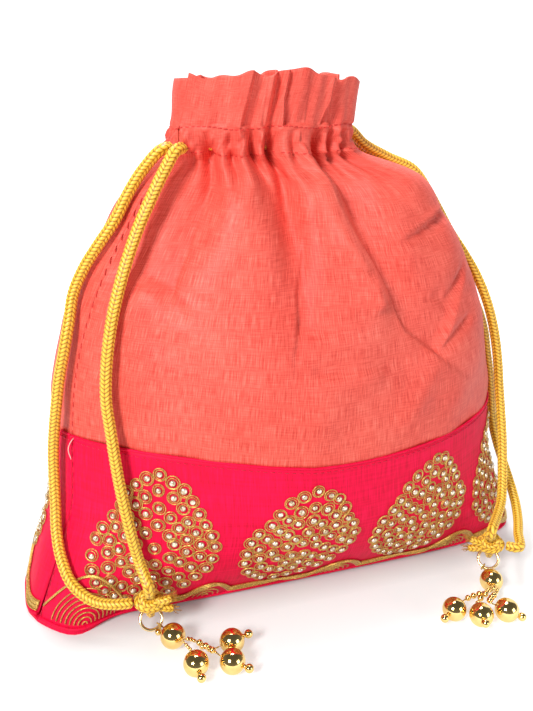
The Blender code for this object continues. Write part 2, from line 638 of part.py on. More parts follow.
def tassel(side, spec, collection, cutters, cord, gold):
    """A ring in the knot of the drawstring, and the beads that are strung from it."""
    knot(f"{side}_knot", spec, collection, cutters, cord)
    middle, up, across = ring_frame(spec)
    ring = ring_mesh_object(
        f"{side}_ring", middle, up, across, RING_RADIUS, RING_WIRE, 24, 6, collection, gold
    )
    ring_pivot = hang([ring], f"{side}_ring_pivot", spec["seat"], None, collection)

    spoke = -up * math.cos(spec["hold"]) + across * math.sin(spec["hold"])
    held = middle + RING_RADIUS * spoke
    tangent = np.cross(spoke, np.cross(across, up))
    crown_place = np.array((*spec["crown"], LARGE_BEAD))
    axis = unit(spec["crown_axis"])
    entry = crown_place - axis * LARGE_BEAD
    away = entry - axis * 2 * SMALL_BEAD - held
    away = unit(away - tangent * np.dot(away, tangent))
    loop_across = np.cross(tangent, away)
    loop = ring_mesh_object(
        f"{side}_thread_loop", held, away, loop_across, LOOP_RADIUS, LOOP_WIRE, 12, 5, collection, gold
    )
    stem_start = held + away * (LOOP_RADIUS + LOOP_WIRE + GAP)
    straight = entry - axis * (2 * SMALL_BEAD + 2 * GAP)
    stem_path = [*bend(stem_start, away, straight, axis, 5), crown_place - axis * 0.4 * LARGE_BEAD]
    stem = strung(f"{side}_thread", stem_path, [], collection, gold)
    collar = bead(
        f"{side}_collar_bead", SMALL_BEAD, 8, 4, entry - axis * (SMALL_BEAD + GAP), axis, collection, gold
    )
    crown = bead(f"{side}_crown_bead", LARGE_BEAD, 12, 8, crown_place, axis, collection, gold)
    crown_pivot = hang([loop, stem, collar, crown], f"{side}_crown_pivot", held, ring_pivot, collection)

    leave = crown_place + axis * (LARGE_BEAD + 2 * GAP)
    beside = unit(np.cross((0, 0, 1), axis)) * 2 * (THREAD + GAP)
    for order, (place, end, end_axis) in zip((1, 0, -1), spec["ends"]):
        end_axis = unit(end_axis)
        end_place = np.array((*end, LARGE_BEAD))
        start = leave + order * spec["fan"] * beside
        arrive = end_place - end_axis * (LARGE_BEAD + GAP)
        path = bend(start, unit(arrive - start) * 0.85 + axis * 0.15, arrive, end_axis)
        finish = end_place + end_axis * (LARGE_BEAD + GAP + 1.5 * STOPPER_BEAD)
        path = np.concatenate([path, [finish]])
        length = np.linalg.norm(np.diff(path[:-1], axis=0), axis=1).sum()
        first = FIRST_BEAD
        count = max(1, min(BEADS_ON_STRAND, int((length - first) / (2.05 * SMALL_BEAD))))
        spots = np.linspace(first, length - SMALL_BEAD - 0.0003, count) if count > 1 else [length / 2]
        strand = strung(f"{side}_{place}_strand", path, spots, collection, gold)
        large = bead(f"{side}_{place}_bead", LARGE_BEAD, 12, 8, end_place, end_axis, collection, gold)
        stopper = bead(
            f"{side}_{place}_stopper", STOPPER_BEAD, 8, 4,
            end_place + end_axis * (LARGE_BEAD + GAP + STOPPER_BEAD), end_axis, collection, gold,
        )
        hang([strand, large, stopper], f"{side}_{place}_pivot", leave, crown_pivot, collection)


def build():
    clear_scene()
    bag = new_collection("potli_bag")
    cutters = new_collection("cutters")
    coral = material("coral raw silk", CORAL, 0.62)
    pink = material("pink silk", PINK, 0.68)
    cord = material("gold braided cord", GOLD_CORD, 0.55)
    gold = material("polished gold", GOLD_METAL, 0.16, 1.0)
    wire = material("couched gold wire", GOLD_WIRE, 0.35, 0.8)

    base_panel(bag, pink)
    band_heights = np.linspace(BASE_THICKNESS + GAP, BAND_HEIGHT - GAP / 2, 7)
    upper_heights = (
        BAND_HEIGHT + GAP / 2, *np.linspace(BELLY_HEIGHT - 0.009, SHOULDER_HEIGHT, 7),
        *np.linspace(SHOULDER_HEIGHT + 0.008, NECK_HEIGHT - 0.001, 4), NECK_HEIGHT - SEAM_OPENING_RISE,
        NECK_HEIGHT + 0.5 * CASING_HEIGHT, CASING_TOP + SEAM_OPENING_RISE, CASING_TOP + 0.001,
        *np.linspace(CASING_TOP + 0.006, TOP, 3),
    )
    for side, start, columns, motifs in (("front", 0.0, 40, FRONT_MOTIFS), ("back", 0.5, 28, BACK_MOTIFS)):
        cloth_panel(f"band_{side}", start, band_heights, 28, False, bag, pink)
        cloth_panel(f"upper_{side}", start, upper_heights, columns, True, bag, coral)
        border(f"couched_border_{side}", start, motifs, bag, wire)
        for i, distance in enumerate(motifs, 1):
            motif(f"motif_{side}_{i}", start, distance, bag, wire)

    for side, seam, level, routes in (
        ("left", 0.0, LEFT_CORD_LEVEL, (LEFT_FRONT_ROUTE, LEFT_REAR_ROUTE)),
        ("right", 0.5, RIGHT_CORD_LEVEL, (RIGHT_FRONT_ROUTE, RIGHT_REAR_ROUTE)),
    ):
        spec = TASSELS[side]
        tube(f"{side}_cord_in_casing", inside_casing(seam, level), CORD / 2, bag, cord)
        for place, route in zip(("front", "rear"), routes):
            aside = CORD_PITCH / 2 * (1 if (place == "front") == (side == "left") else -1)
            path = strand_route(seam, level, aside, route, arrival(spec, place))
            tube(f"{side}_{place}_cord", path, CORD / 2, bag, cord)
        tassel(side, spec, bag, cutters, cord, gold)


build()
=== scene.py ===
"""A drawstring potli bag in coral silk and pink, with gold embroidery, braided cords and beaded tassels."""

import math

import bpy
import numpy as np
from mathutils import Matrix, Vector


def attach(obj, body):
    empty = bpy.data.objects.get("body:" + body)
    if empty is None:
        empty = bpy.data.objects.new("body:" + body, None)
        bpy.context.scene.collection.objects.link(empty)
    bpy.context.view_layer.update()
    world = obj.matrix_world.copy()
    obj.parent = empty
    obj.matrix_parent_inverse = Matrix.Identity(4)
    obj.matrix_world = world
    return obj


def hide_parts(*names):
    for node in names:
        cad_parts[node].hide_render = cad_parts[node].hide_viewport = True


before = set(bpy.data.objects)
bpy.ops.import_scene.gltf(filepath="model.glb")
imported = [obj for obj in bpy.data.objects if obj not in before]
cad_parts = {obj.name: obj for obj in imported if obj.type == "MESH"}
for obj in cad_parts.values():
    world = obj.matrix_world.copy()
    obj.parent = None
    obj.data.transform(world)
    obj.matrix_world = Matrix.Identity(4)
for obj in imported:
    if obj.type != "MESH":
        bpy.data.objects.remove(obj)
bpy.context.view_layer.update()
random = np.random.default_rng(7)

# Cloth, in metres. Heights are above the table.
GAP = 0.0003
CLOTH = 0.0012
BASE_WIDTH = 0.234
BASE_DEPTH = 0.050
BASE_THICKNESS = 0.0015
BAND_HEIGHT = 0.075
BAND_WIDTH = 0.203
BAND_DEPTH = 0.106
SEAM_DIP = 0.005
BELLY_HEIGHT = 0.098
BELLY_WIDTH = 0.197
BELLY_DEPTH = 0.110
SHOULDER_HEIGHT = 0.156
SHOULDER_WIDTH = 0.145
SHOULDER_DEPTH = 0.082
NECK_HEIGHT = 0.184
NECK_WIDTH = 0.079
NECK_DEPTH = 0.041
NECK_SHIFT = -0.005
CASING_HEIGHT = 0.0095
RUFFLE_HEIGHT = 0.018
RUFFLE_WIDTH = 0.084
RUFFLE_DEPTH = 0.050
SIDE_SEAM_TURN = math.radians(22)
END_SWING = 0.15
CASING_TOP = NECK_HEIGHT + CASING_HEIGHT
TOP = CASING_TOP + RUFFLE_HEIGHT

# Each section of the bag: height, width, depth, squareness of its outline, and how far it stands to one side
SECTIONS = (
    (0.0, BASE_WIDTH, BASE_DEPTH, 4.5, 0.0),
    (0.25 * BAND_HEIGHT, BASE_WIDTH - 0.011, BASE_DEPTH + 0.028, 3.0, 0.0),
    (0.6 * BAND_HEIGHT, BAND_WIDTH + 0.004, BAND_DEPTH - 0.006, 2.2, 0.0),
    (BAND_HEIGHT, BAND_WIDTH, BAND_DEPTH, 2.05, 0.0),
    (BELLY_HEIGHT, BELLY_WIDTH, BELLY_DEPTH, 2.0, 0.0),
    (0.5 * (BELLY_HEIGHT + SHOULDER_HEIGHT), 0.5 * (BELLY_WIDTH + SHOULDER_WIDTH) + 0.006,
     0.5 * (BELLY_DEPTH + SHOULDER_DEPTH) + 0.004, 2.0, 0.0),
    (SHOULDER_HEIGHT, SHOULDER_WIDTH, SHOULDER_DEPTH, 2.0, 0.0),
    (NECK_HEIGHT - 0.007, NECK_WIDTH + 0.031, NECK_DEPTH + 0.019, 2.0, 0.2 * NECK_SHIFT),
    (NECK_HEIGHT - 0.001, NECK_WIDTH + 0.010, NECK_DEPTH + 0.006, 2.0, 0.8 * NECK_SHIFT),
    (NECK_HEIGHT + 0.5 * CASING_HEIGHT, NECK_WIDTH, NECK_DEPTH, 2.0, NECK_SHIFT),
    (CASING_TOP, NECK_WIDTH, NECK_DEPTH + 0.001, 2.0, NECK_SHIFT),
    (TOP, RUFFLE_WIDTH, RUFFLE_DEPTH, 2.2, NECK_SHIFT),
)

# Folds run down from the casing. Each has its place across the neck, its place and height at its foot, its
# depth and half width at the neck, and the share of that depth that goes on up through the ruffle.
FRONT_FOLDS = (
    (-0.0405, -0.072, 0.135, 0.0035, 0.0025, 0.2),
    (-0.0335, -0.058, 0.132, 0.0080, 0.0030, 0.25),
    (-0.0245, -0.028, 0.168, 0.0040, 0.0020, 0.4),
    (-0.0160, -0.014, 0.150, 0.0065, 0.0023, 1.0),
    (-0.0080, -0.008, 0.112, 0.0095, 0.0028, 1.0),
    (0.0020, 0.004, 0.170, 0.0030, 0.0020, 1.5),
    (0.0140, 0.050, 0.100, 0.0080, 0.0032, 1.0),
    (0.0215, 0.034, 0.152, 0.0065, 0.0022, 0.6),
    (0.0280, 0.054, 0.156, 0.0045, 0.0022, 0.6),
)
BACK_FOLDS = (
    (-0.0350, -0.062, 0.130, 0.0060, 0.0028, 0.8),
    (-0.0240, -0.034, 0.118, 0.0080, 0.0028, 1.0),
    (-0.0130, -0.016, 0.150, 0.0065, 0.0023, 1.0),
    (-0.0040, -0.002, 0.108, 0.0085, 0.0028, 0.9),
    (0.0060, 0.014, 0.146, 0.0065, 0.0023, 1.0),
    (0.0160, 0.036, 0.116, 0.0080, 0.0028, 1.0),
    (0.0250, 0.058, 0.134, 0.0055, 0.0026, 0.8),
)
FOLD_SPREAD = 3.2
SEAM_CALM = 0.03
EDGE_STEP = 0.0015

# Couched gold embroidery on the band
BACK_MOTIFS = (0.040, 0.099, 0.157, 0.213)
BORDER_FOOT = 0.0045

# Drawstrings
CORD = 0.0045
CORD_CLEARANCE = 0.0008
CORD_PITCH = CORD + 0.0006
CORD_OPENING = CORD + CORD_PITCH + 0.0016
SEAM_OPENING_RISE = 0.0004
CORD_STEP = 2.4 * CORD
KNOT_RADII = (0.0062, 0.0048, 0.0050)
LEFT_CORD_LEVEL = NECK_HEIGHT + 0.5 * (CASING_HEIGHT - CORD - GAP)
RIGHT_CORD_LEVEL = LEFT_CORD_LEVEL + CORD + GAP

# The braid: its columns of stitches, a stitch's length and slant, and the share of the radius that is core or
# relief. Its ends are rounded over this length.
BRAID_COLUMNS = 6
BRAID_STITCH = 0.00165
STITCH_SLANT = 0.9
BRAID_CORE = 0.87
BRAID_RELIEF = 0.15
BRAID_ROUNDED = 0.0012

# Rings and beads
RING_RADIUS = 0.00435
RING_WIRE = 0.00065
RING_LEAN = math.radians(50.5)
THREAD = 0.00045
LOOP_RADIUS = 0.00135
LOOP_WIRE = 0.00035
LARGE_BEAD = 0.0050
STOPPER_BEAD = 0.00175
SMALL_BEAD = 0.00135
FIRST_BEAD = 0.0072

# Routes of the four strands, from the casing to their knot
LEFT_FRONT_ROUTE = (
    (-0.0496, -0.0140, 0.1800), (-0.0572, -0.0168, 0.1684), (-0.0632, -0.0185, 0.1568),
    (-0.0684, -0.0211, 0.1448), (-0.0726, -0.0230, 0.1330), (-0.0766, -0.0250, 0.1163),
    (-0.0787, -0.0270, 0.0978), (-0.0779, -0.0292, 0.0835), (-0.0770, -0.0316, 0.0688),
    (-0.0752, -0.0354, 0.0528), (-0.0730, -0.0390, 0.0388), (-0.0708, -0.0408, 0.0290),
)
LEFT_REAR_ROUTE = (
    (-0.0580, -0.0068, 0.1780),
    (-0.0690, -0.0090, 0.1613), (-0.0782, -0.0068, 0.1484), (-0.0840, -0.0048, 0.1386),
    (-0.0902, -0.0088, 0.1170), (-0.0929, -0.0086, 0.1074), (-0.0963, -0.0080, 0.0906),
    (-0.0992, -0.0070, 0.0710), (-0.1004, -0.0096, 0.0525), (-0.1012, -0.0186, 0.0338),
    (-0.0990, -0.0266, 0.0246), (-0.0936, -0.0324, 0.0178), (-0.0850, -0.0370, 0.0162),
)
RIGHT_FRONT_ROUTE = (
    (0.0515, 0.0111, 0.1812), (0.0640, 0.0102, 0.1730), (0.0736, 0.0085, 0.1594),
    (0.0821, 0.0057, 0.1450), (0.0893, -0.0011, 0.1320), (0.0946, -0.0070, 0.1180),
    (0.0986, -0.0098, 0.1040), (0.1009, -0.0120, 0.0900), (0.1016, -0.0154, 0.0740),
    (0.1014, -0.0210, 0.0560), (0.0990, -0.0275, 0.0420), (0.0950, -0.0350, 0.0310),
)
RIGHT_REAR_ROUTE = (
    (0.0450, 0.0163, 0.1824), (0.0585, 0.0180, 0.1742), (0.0692, 0.0177, 0.1598),
    (0.0781, 0.0159, 0.1450), (0.0874, 0.0108, 0.1320), (0.0947, 0.0062, 0.1180),
    (0.1000, 0.0021, 0.1040), (0.1032, -0.0001, 0.0880), (0.1056, -0.0022, 0.0720),
    (0.1072, -0.0040, 0.0560), (0.1096, -0.0080, 0.0420), (0.1110, -0.0150, 0.0310),
    (0.1085, -0.0270, 0.0225), (0.1035, -0.0375, 0.0185),
)

# Each tassel: where its ring sits in the knot, which way the ring faces, the knot's middle, the place on the
# ring of the thread loop, the crown bead with its axis, and each end bead with its axis
TASSELS = {
    "left": dict(
        seat=(-0.0687, -0.0376, 0.0108), facing=(-0.125, -0.992), knot=(-0.0670, -0.0410, 0.0165),
        hold=math.radians(50), fan=1, crown=(-0.0622, -0.0500), crown_axis=(0.75, -0.65, 0.05),
        ends=(
            ("back", (-0.0409, -0.0598), (0.97, 0.12, 0.12)),
            ("front", (-0.0436, -0.0703), (0.72, -0.66, -0.10)),
            ("near", (-0.0568, -0.0672), (0.05, -0.99, -0.10)),
        ),
    ),
    "right": dict(
        seat=(0.0841, -0.0450, 0.0108), facing=(-0.61, -0.79), knot=(0.0842, -0.0498, 0.0165),
        hold=math.radians(-25), fan=-1, crown=(0.0768, -0.0584), crown_axis=(-0.35, -0.93, 0.05),
        ends=(
            ("back", (0.0514, -0.0700), (-0.89, -0.44, -0.10)),
            ("front", (0.0600, -0.0765), (-0.35, -0.90, 0.20)),
            ("near", (0.0716, -0.0772), (0.80, -0.35, -0.40)),
        ),
    ),
}


def bell(value, middle, reach):
    """A smooth bump: 1 at the middle, and gone at about twice the reach."""
    return np.exp(-(((value - middle) / reach) ** 2))


def eased(share):
    """0 to 1 with a soft start and a soft end."""
    return share * share * (3 - 2 * share)


def travelled_along(points):
    """The distance travelled to each point of a path."""
    return np.concatenate([[0], np.cumsum(np.linalg.norm(np.diff(points, axis=0), axis=1))])


def between(heights, values, height):
    """A smooth curve through the sections, as a Hermite spline with the slopes of its neighbours."""
    slopes = np.gradient(values, heights, axis=0)
    i = int(np.clip(np.searchsorted(heights, height) - 1, 0, len(heights) - 2))
    span = heights[i + 1] - heights[i]
    t = (height - heights[i]) / span
    rise = eased(t)
    return (
        values[i] * (1 - rise)
        + values[i + 1] * rise
        + span * slopes[i] * t * (1 - t) ** 2
        - span * slopes[i + 1] * t * t * (1 - t)
    )


def section(height):
    """Half width, half depth, squareness and shift of the outline at this height."""
    table = np.array(SECTIONS)
    width, depth, squareness, shift = between(table[:, 0], table[:, 1:], height)
    return width / 2, depth / 2, squareness, shift


def outline(height):
    """The bag's outline at this height, as a closed ring that starts at the left side seam and goes along
    the front, with the distance travelled to each point."""
    half_width, half_depth, squareness, shift = section(height)
    turn = np.linspace(0, 2 * math.pi, 721) + math.pi + SIDE_SEAM_TURN
    c, s = np.cos(turn), np.sin(turn)
    x = half_width * np.sign(c) * np.abs(c) ** (2 / squareness)
    y = half_depth * np.sign(s) * np.abs(s) ** (2 / squareness)
    lift = min(height / BAND_HEIGHT, 1) * min(max(0, TOP - height) / (TOP - BELLY_HEIGHT), 1)
    y = y + END_SWING * lift * np.maximum(0, -x - 0.05 * half_width)
    points = np.stack([x + shift, y], axis=1)
    return points, travelled_along(points)


def fold_depth(x, folds, height):
    """How far the cloth goes in at these places, from all the folds of one side."""
    depth = np.zeros_like(x)
    for neck_x, foot_x, foot_height, deep, half_width, above in folds:
        run = np.clip((height - foot_height) / (NECK_HEIGHT - foot_height), 0, 1)
        place = foot_x + (neck_x - foot_x) * run
        spread = half_width * (1 + FOLD_SPREAD * (1 - run))
        ruffled = 1 + (above - 1) * np.clip((height - NECK_HEIGHT) / CASING_HEIGHT, 0, 1)
        depth += deep * ruffled * eased(run) * bell(x, place, spread)
    return depth


def cloth_row(height, shares, proud=0.0, front_folds=FRONT_FOLDS):
    """Points of the cloth at this height, at shares of the way round from the left side seam."""
    points, travelled = outline(height)
    shares = np.asarray(shares)

    def place(at):
        at = np.mod(at, travelled[-1])
        return np.stack([np.interp(at, travelled, points[:, i]) for i in (0, 1)], axis=1)

    at = shares * travelled[-1]
    here = place(at)
    along = place(at + EDGE_STEP) - place(at - EDGE_STEP)
    along /= np.linalg.norm(along, axis=1, keepdims=True)
    outward = np.stack([along[:, 1], -along[:, 0]], axis=1)
    half_depth = section(height)[1]
    slack = min(height / BAND_HEIGHT, max(0, NECK_HEIGHT - height) / (NECK_HEIGHT - BAND_HEIGHT))
    dip = SEAM_DIP * slack * np.minimum(1, (here[:, 1] / half_depth) ** 2)
    deep = np.where(shares < 0.5, fold_depth(here[:, 0], front_folds, height),
                    fold_depth(here[:, 0], BACK_FOLDS, height))
    from_seam = np.abs(np.mod(shares + 0.25, 0.5) - 0.25)
    deep = deep * np.clip(from_seam / SEAM_CALM, 0, 1)
    here = here + outward * (proud - deep)[:, None]
    return np.column_stack([here, height - dip])


def seam_edge(height, opening):
    """Half the gap at a side seam, as a share of the way round: wide where the drawstrings come out."""
    wide = opening and NECK_HEIGHT - GAP - SEAM_OPENING_RISE < height < CASING_TOP + GAP + SEAM_OPENING_RISE
    return (CORD_OPENING if wide else GAP) / 2 / outline(height)[1][-1]


def smooth_path(route, step):
    """Evenly spaced points of a smooth curve through the route."""
    points = np.array(route, float)
    lengths = travelled_along(points)
    fine = np.linspace(0, lengths[-1], 400)
    curve = np.array([between(lengths, points, at) for at in fine])
    run = travelled_along(curve)
    count = max(2, round(run[-1] / step)) + 1
    at = np.linspace(0, run[-1], count)
    return np.stack([np.interp(at, run, curve[:, i]) for i in range(3)], axis=1)


def beside_seam(seam, level, aside, out):
    """A place at a side seam: this far along the cloth from it, and this far out from the cloth."""
    return cloth_row(level, [seam + aside / outline(level)[1][-1]], out)[0]


def inside_casing(seam, level):
    """The run of one drawstring: in at a side seam, round the gathered casing behind its deepest fold, and
    out beside itself."""
    half_width, half_depth, _, shift = section(level)
    inset = max(fold[3] for fold in FRONT_FOLDS + BACK_FOLDS) + CLOTH + CORD / 2 + CORD_CLEARANCE
    turn = 2 * math.pi * seam + math.pi + SIDE_SEAM_TURN + np.radians(np.linspace(38, 322, 26))
    width, depth = half_width - inset, half_depth - inset
    loop = [(width * math.cos(a) + shift, depth * math.sin(a), level) for a in turn]
    outside, inside = [
        [beside_seam(seam, level, aside * CORD_PITCH / 2, out) for aside in (1, -1)] for out in (GAP, -CORD)
    ]
    return [outside[0], *smooth_path([inside[0], *loop, inside[1]], 1.5 * CORD), outside[1]]


def strand_route(seam, level, aside, route, arrival):
    """A free strand: out of its opening, along its route and to its knot."""
    start, clear = (beside_seam(seam, level, aside, out) for out in (3 * GAP, CORD))
    return [start, *smooth_path([clear, *route, arrival[0]], CORD_STEP), arrival[1]]


def unit(vector):
    return np.array(vector, float) / np.linalg.norm(vector)


def ring_frame(tassel):
    """The ring's middle, its direction up its own slope, and its direction across."""
    facing = unit((*tassel["facing"], 0))
    up = -facing * math.cos(RING_LEAN) + np.array([0, 0, math.sin(RING_LEAN)])
    across = np.cross((0, 0, 1), facing)
    return np.array(tassel["seat"]) - up * RING_RADIUS, up, across


def knot_frame(tassel):
    """The knot's middle, the ring's seat in its eye, the direction from seat to middle, and its long side."""
    seat = np.array(tassel["seat"])
    across = ring_frame(tassel)[2]
    offset = np.array(tassel["knot"]) - seat
    offset -= across * np.dot(offset, across)
    return seat + offset, seat, unit(offset), across


def arrival(tassel, place):
    """The last points of a strand: the front one comes down on to its knot, the rear one in from the side."""
    middle, _, towards, side = knot_frame(tassel)
    outwards = side * np.sign(side[0] * middle[0])
    way, radius = (towards, KNOT_RADII[2]) if place == "front" else (outwards, KNOT_RADII[0])
    return [middle + way * (radius + reach) for reach in (1.2 * CORD, 2 * GAP)]


def bend(start, start_way, end, end_way, count=8):
    """Points of a curve that leaves one place and reaches another in the given directions."""
    reach = 0.45 * np.linalg.norm(end - start)
    controls = (start, start + reach * unit(start_way), end - reach * unit(end_way), end)
    t = np.linspace(0, 1, count)[:, None]
    return (
        (1 - t) ** 3 * controls[0] + 3 * t * (1 - t) ** 2 * controls[1]
        + 3 * t * t * (1 - t) * controls[2] + t**3 * controls[3]
    )


# Materials


def new_material(name):
    """A material with its node tree and its shader."""
    material = bpy.data.materials.new(name)
    material.use_nodes = True
    return material, material.node_tree, material.node_tree.nodes["Principled BSDF"]


def feed(tree, node, **inputs):
    """Sets a node's sockets, from values or from other nodes' results."""
    for key, value in inputs.items():
        socket = node.inputs[key.replace("_", " ")]
        if isinstance(value, bpy.types.NodeSocket):
            tree.links.new(value, socket)
        else:
            socket.default_value = value
    return node


def add(tree, kind, **inputs):
    """A new node's results."""
    return feed(tree, tree.nodes.new(kind), **inputs).outputs


def maths(tree, operation, a, b=None, c=None):
    """The result of a sum, from numbers or from other nodes' results."""
    node = tree.nodes.new("ShaderNodeMath")
    node.operation = operation
    for socket, value in zip(node.inputs, (a, b, c)):
        if isinstance(value, (int, float)):
            socket.default_value = value
        elif value is not None:
            tree.links.new(value, socket)
    return node.outputs[0]


def cloth_place(tree):
    """The cloth's own coordinates."""
    uv = tree.nodes.new("ShaderNodeUVMap")
    uv.uv_map = "cloth"
    return uv.outputs[0]


def stretched_noise(tree, scale, detail=2.0):
    """Noise over the cloth's own coordinates, drawn out along one thread direction."""
    place = add(tree, "ShaderNodeMapping", Vector=cloth_place(tree), Scale=(*scale, 1))[0]
    return add(tree, "ShaderNodeTexNoise", Vector=place, Scale=1.0, Detail=detail)["Fac"]


def object_noise(tree, scale, detail=2.0):
    """Noise through a piece's own space, the same on all its sides."""
    place = add(tree, "ShaderNodeTexCoord")["Object"]
    return add(tree, "ShaderNodeTexNoise", Vector=place, Scale=scale, Detail=detail)["Fac"]


def ramp(tree, value, *stops):
    """A colour for each value, blended from stops of (place, colour)."""
    node = tree.nodes.new("ShaderNodeValToRGB")
    elements = node.color_ramp.elements
    while len(elements) < len(stops):
        elements.new(0.5)
    for element, (at, colour) in zip(elements, stops):
        element.position = at
        element.color = (*colour, 1)
    tree.links.new(value, node.inputs[0])
    return node.outputs[0]


def silk(name, dark, mid, light, across, along, roughness, sheen, bump):
    """Hand-woven silk: threads both ways with slubs, a soft sheen and a fine relief."""
    material, tree, shader = new_material(name)
    warp = stretched_noise(tree, (across, across / 20))
    weft = stretched_noise(tree, (along / 20, along))
    slub = stretched_noise(tree, (along / 24, along / 2), 1.0)
    cloud = stretched_noise(tree, (26, 26), 3.0)
    threads = 0.0
    for noise, share in ((warp, 0.50), (weft, 0.24), (slub, 0.06), (cloud, 0.20)):
        threads = maths(tree, "ADD", threads, maths(tree, "MULTIPLY", noise, share))
    relief = add(tree, "ShaderNodeBump", Height=threads, Strength=bump, Distance=0.00025)
    feed(tree, shader, Base_Color=ramp(tree, threads, (0.38, dark), (0.5, mid), (0.62, light)),
         Roughness=roughness, Sheen_Weight=sheen, Sheen_Roughness=0.35, Sheen_Tint=(*light, 1),
         Specular_IOR_Level=0.22, Normal=relief[0])
    return material


def metal(name, low, high, roughness, scale=900.0, bump=0.05, metallic=1.0):
    """Bead gold, wire, thread or stone: a grain between two colours, which also gives a fine relief."""
    material, tree, shader = new_material(name)
    grain = object_noise(tree, scale)
    relief = add(tree, "ShaderNodeBump", Height=grain, Strength=bump, Distance=0.0001)
    feed(tree, shader, Base_Color=ramp(tree, grain, (0.35, low), (0.65, high)),
         Metallic=metallic, Roughness=roughness, Normal=relief[0])
    return material


def stitched_value(tree):
    """How far out the braid's surface is: stitches in a zigzag, with valleys between the columns."""
    parts = add(tree, "ShaderNodeSeparateXYZ", Vector=cloth_place(tree))
    phase = maths(tree, "MULTIPLY_ADD", maths(tree, "PINGPONG", parts[0], 1.0), STITCH_SLANT, parts[1])
    stitch = maths(tree, "ABSOLUTE", maths(tree, "COSINE", maths(tree, "MULTIPLY", phase, math.pi)))
    column = maths(tree, "ABSOLUTE", maths(tree, "SINE", maths(tree, "MULTIPLY", parts[0], math.pi)))
    return maths(tree, "MULTIPLY", stitch, maths(tree, "POWER", column, 0.5))


def braid_material():
    """Gold yarn, with painted shade in the valleys between the stitches and a painted highlight where a stitch
    stands out.
    """
    material, tree, shader = new_material("gold braided cord")
    value = maths(tree, "MULTIPLY", stitched_value(tree), 0.85)
    value = maths(tree, "MULTIPLY_ADD", object_noise(tree, 2600.0), 0.25, value)
    # The stitches' relief picks the colour: painted shade in the valleys between them, painted highlight on the
    # raised stitches.
    painted_valley_shade, gold, painted_stitch_highlight = (0.30, 0.10, 0.003), (0.80, 0.40, 0.01), (1.0, 0.68, 0.07)
    feed(tree, shader, Base_Color=ramp(tree, value, (0.16, painted_valley_shade), (0.42, gold), (0.80, painted_stitch_highlight)),
         Roughness=0.42, Sheen_Weight=0.25, Sheen_Tint=(1.0, 0.85, 0.4, 1), Specular_IOR_Level=0.6)
    return material


CORAL = silk("coral raw silk", (0.66, 0.056, 0.040), (0.84, 0.112, 0.080), (0.95, 0.20, 0.148),
             3000, 2500, 0.50, 0.22, 0.40)
PINK = silk("pink silk", (0.68, 0.001, 0.032), (0.86, 0.001, 0.052), (0.95, 0.004, 0.078),
            1900, 900, 0.62, 0.03, 0.45)
PALE_THREAD = metal("loose thread", (0.72, 0.50, 0.44), (0.90, 0.74, 0.68), 0.7, 3000, 0.3, 0.0)
CORAL_THREAD = metal("coral thread", (0.62, 0.02, 0.02), (0.80, 0.05, 0.04), 0.6, 3000, 0.3, 0.0)
PINK_THREAD = metal("pink thread", (0.50, 0.001, 0.02), (0.78, 0.004, 0.06), 0.6, 3000, 0.3, 0.0)
BRAID = braid_material()
POLISHED = metal("polished gold", (0.86, 0.60, 0.21), (0.92, 0.68, 0.27), 0.10, 260, 0.02)
RING_GOLD = metal("ring gold", (0.92, 0.68, 0.34), (0.98, 0.78, 0.45), 0.2, 500, 0.05)
WIRE = metal("couched gold wire", (0.34, 0.19, 0.03), (0.93, 0.62, 0.17), 0.36, 2600, 0.7, 0.75)
RIBBON = metal("gold tissue", (0.42, 0.24, 0.04), (0.92, 0.60, 0.16), 0.45, 1500, 0.9, 0.6)
STONE = metal("champagne stone", (0.40, 0.28, 0.14), (0.98, 0.90, 0.74), 0.08, 900, 0.1, 0.6)
THREAD_GOLD = metal("tassel thread", (0.45, 0.26, 0.05), (0.70, 0.45, 0.12), 0.5, 3000, 0.4, 0.2)

# Meshes


def make(name, vertices, faces, materials, body, uvs=None, indices=None, replaces=()):
    """A named piece from arrays: one uv for each vertex, and a material number for each face."""
    mesh = bpy.data.meshes.new(name)
    mesh.from_pydata(np.asarray(vertices, float).tolist(), [], [tuple(map(int, f)) for f in faces])
    if uvs is not None:
        layer = mesh.uv_layers.new(name="cloth")
        corners = np.empty(len(mesh.loops), np.int32)
        mesh.loops.foreach_get("vertex_index", corners)
        layer.data.foreach_set("uv", np.asarray(uvs, np.float32)[corners].ravel())
    for material in materials:
        mesh.materials.append(material)
    if indices is not None:
        mesh.polygons.foreach_set("material_index", np.asarray(indices, np.int32))
    mesh.shade_smooth()
    obj = bpy.data.objects.new(name, mesh)
    bpy.context.scene.collection.objects.link(obj)
    if replaces:
        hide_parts(*replaces)
    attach(obj, body)
    return obj


class Heap:
    """Collects many small shapes into one mesh."""

    def __init__(self):
        self.vertices, self.faces, self.indices, self.uvs, self.count = [], [], [], [], 0

    def put(self, vertices, faces, index=0, uvs=None):
        """Adds a shape. The index says which of the piece's materials it has."""
        self.vertices.append(np.asarray(vertices, float))
        self.faces += [tuple(int(v) + self.count for v in face) for face in faces]
        self.indices += [index] * len(faces)
        self.uvs.append(np.zeros((len(vertices), 2)) if uvs is None else np.asarray(uvs, float))
        self.count += len(vertices)

    def tube(self, points, radius, around, index=0, uvs=None):
        """Adds a round tube along these points."""
        self.put(*tube_mesh(points, radius, around), index, uvs)

    def make(self, name, materials, body, slot, replaces=()):
        return make(name, np.concatenate(self.vertices), self.faces, materials, body,
                    np.concatenate(self.uvs), self.indices, replaces)


def grid_faces(rows, columns, offset=0, closed=False):
    """Faces between rows of vertices. Closed rows are rings."""
    faces = []
    for i in range(rows - 1):
        for j in range(columns if closed else columns - 1):
            a, b = offset + i * columns + j, offset + i * columns + (j + 1) % columns
            faces.append((a, b, b + columns, a + columns))
    return faces


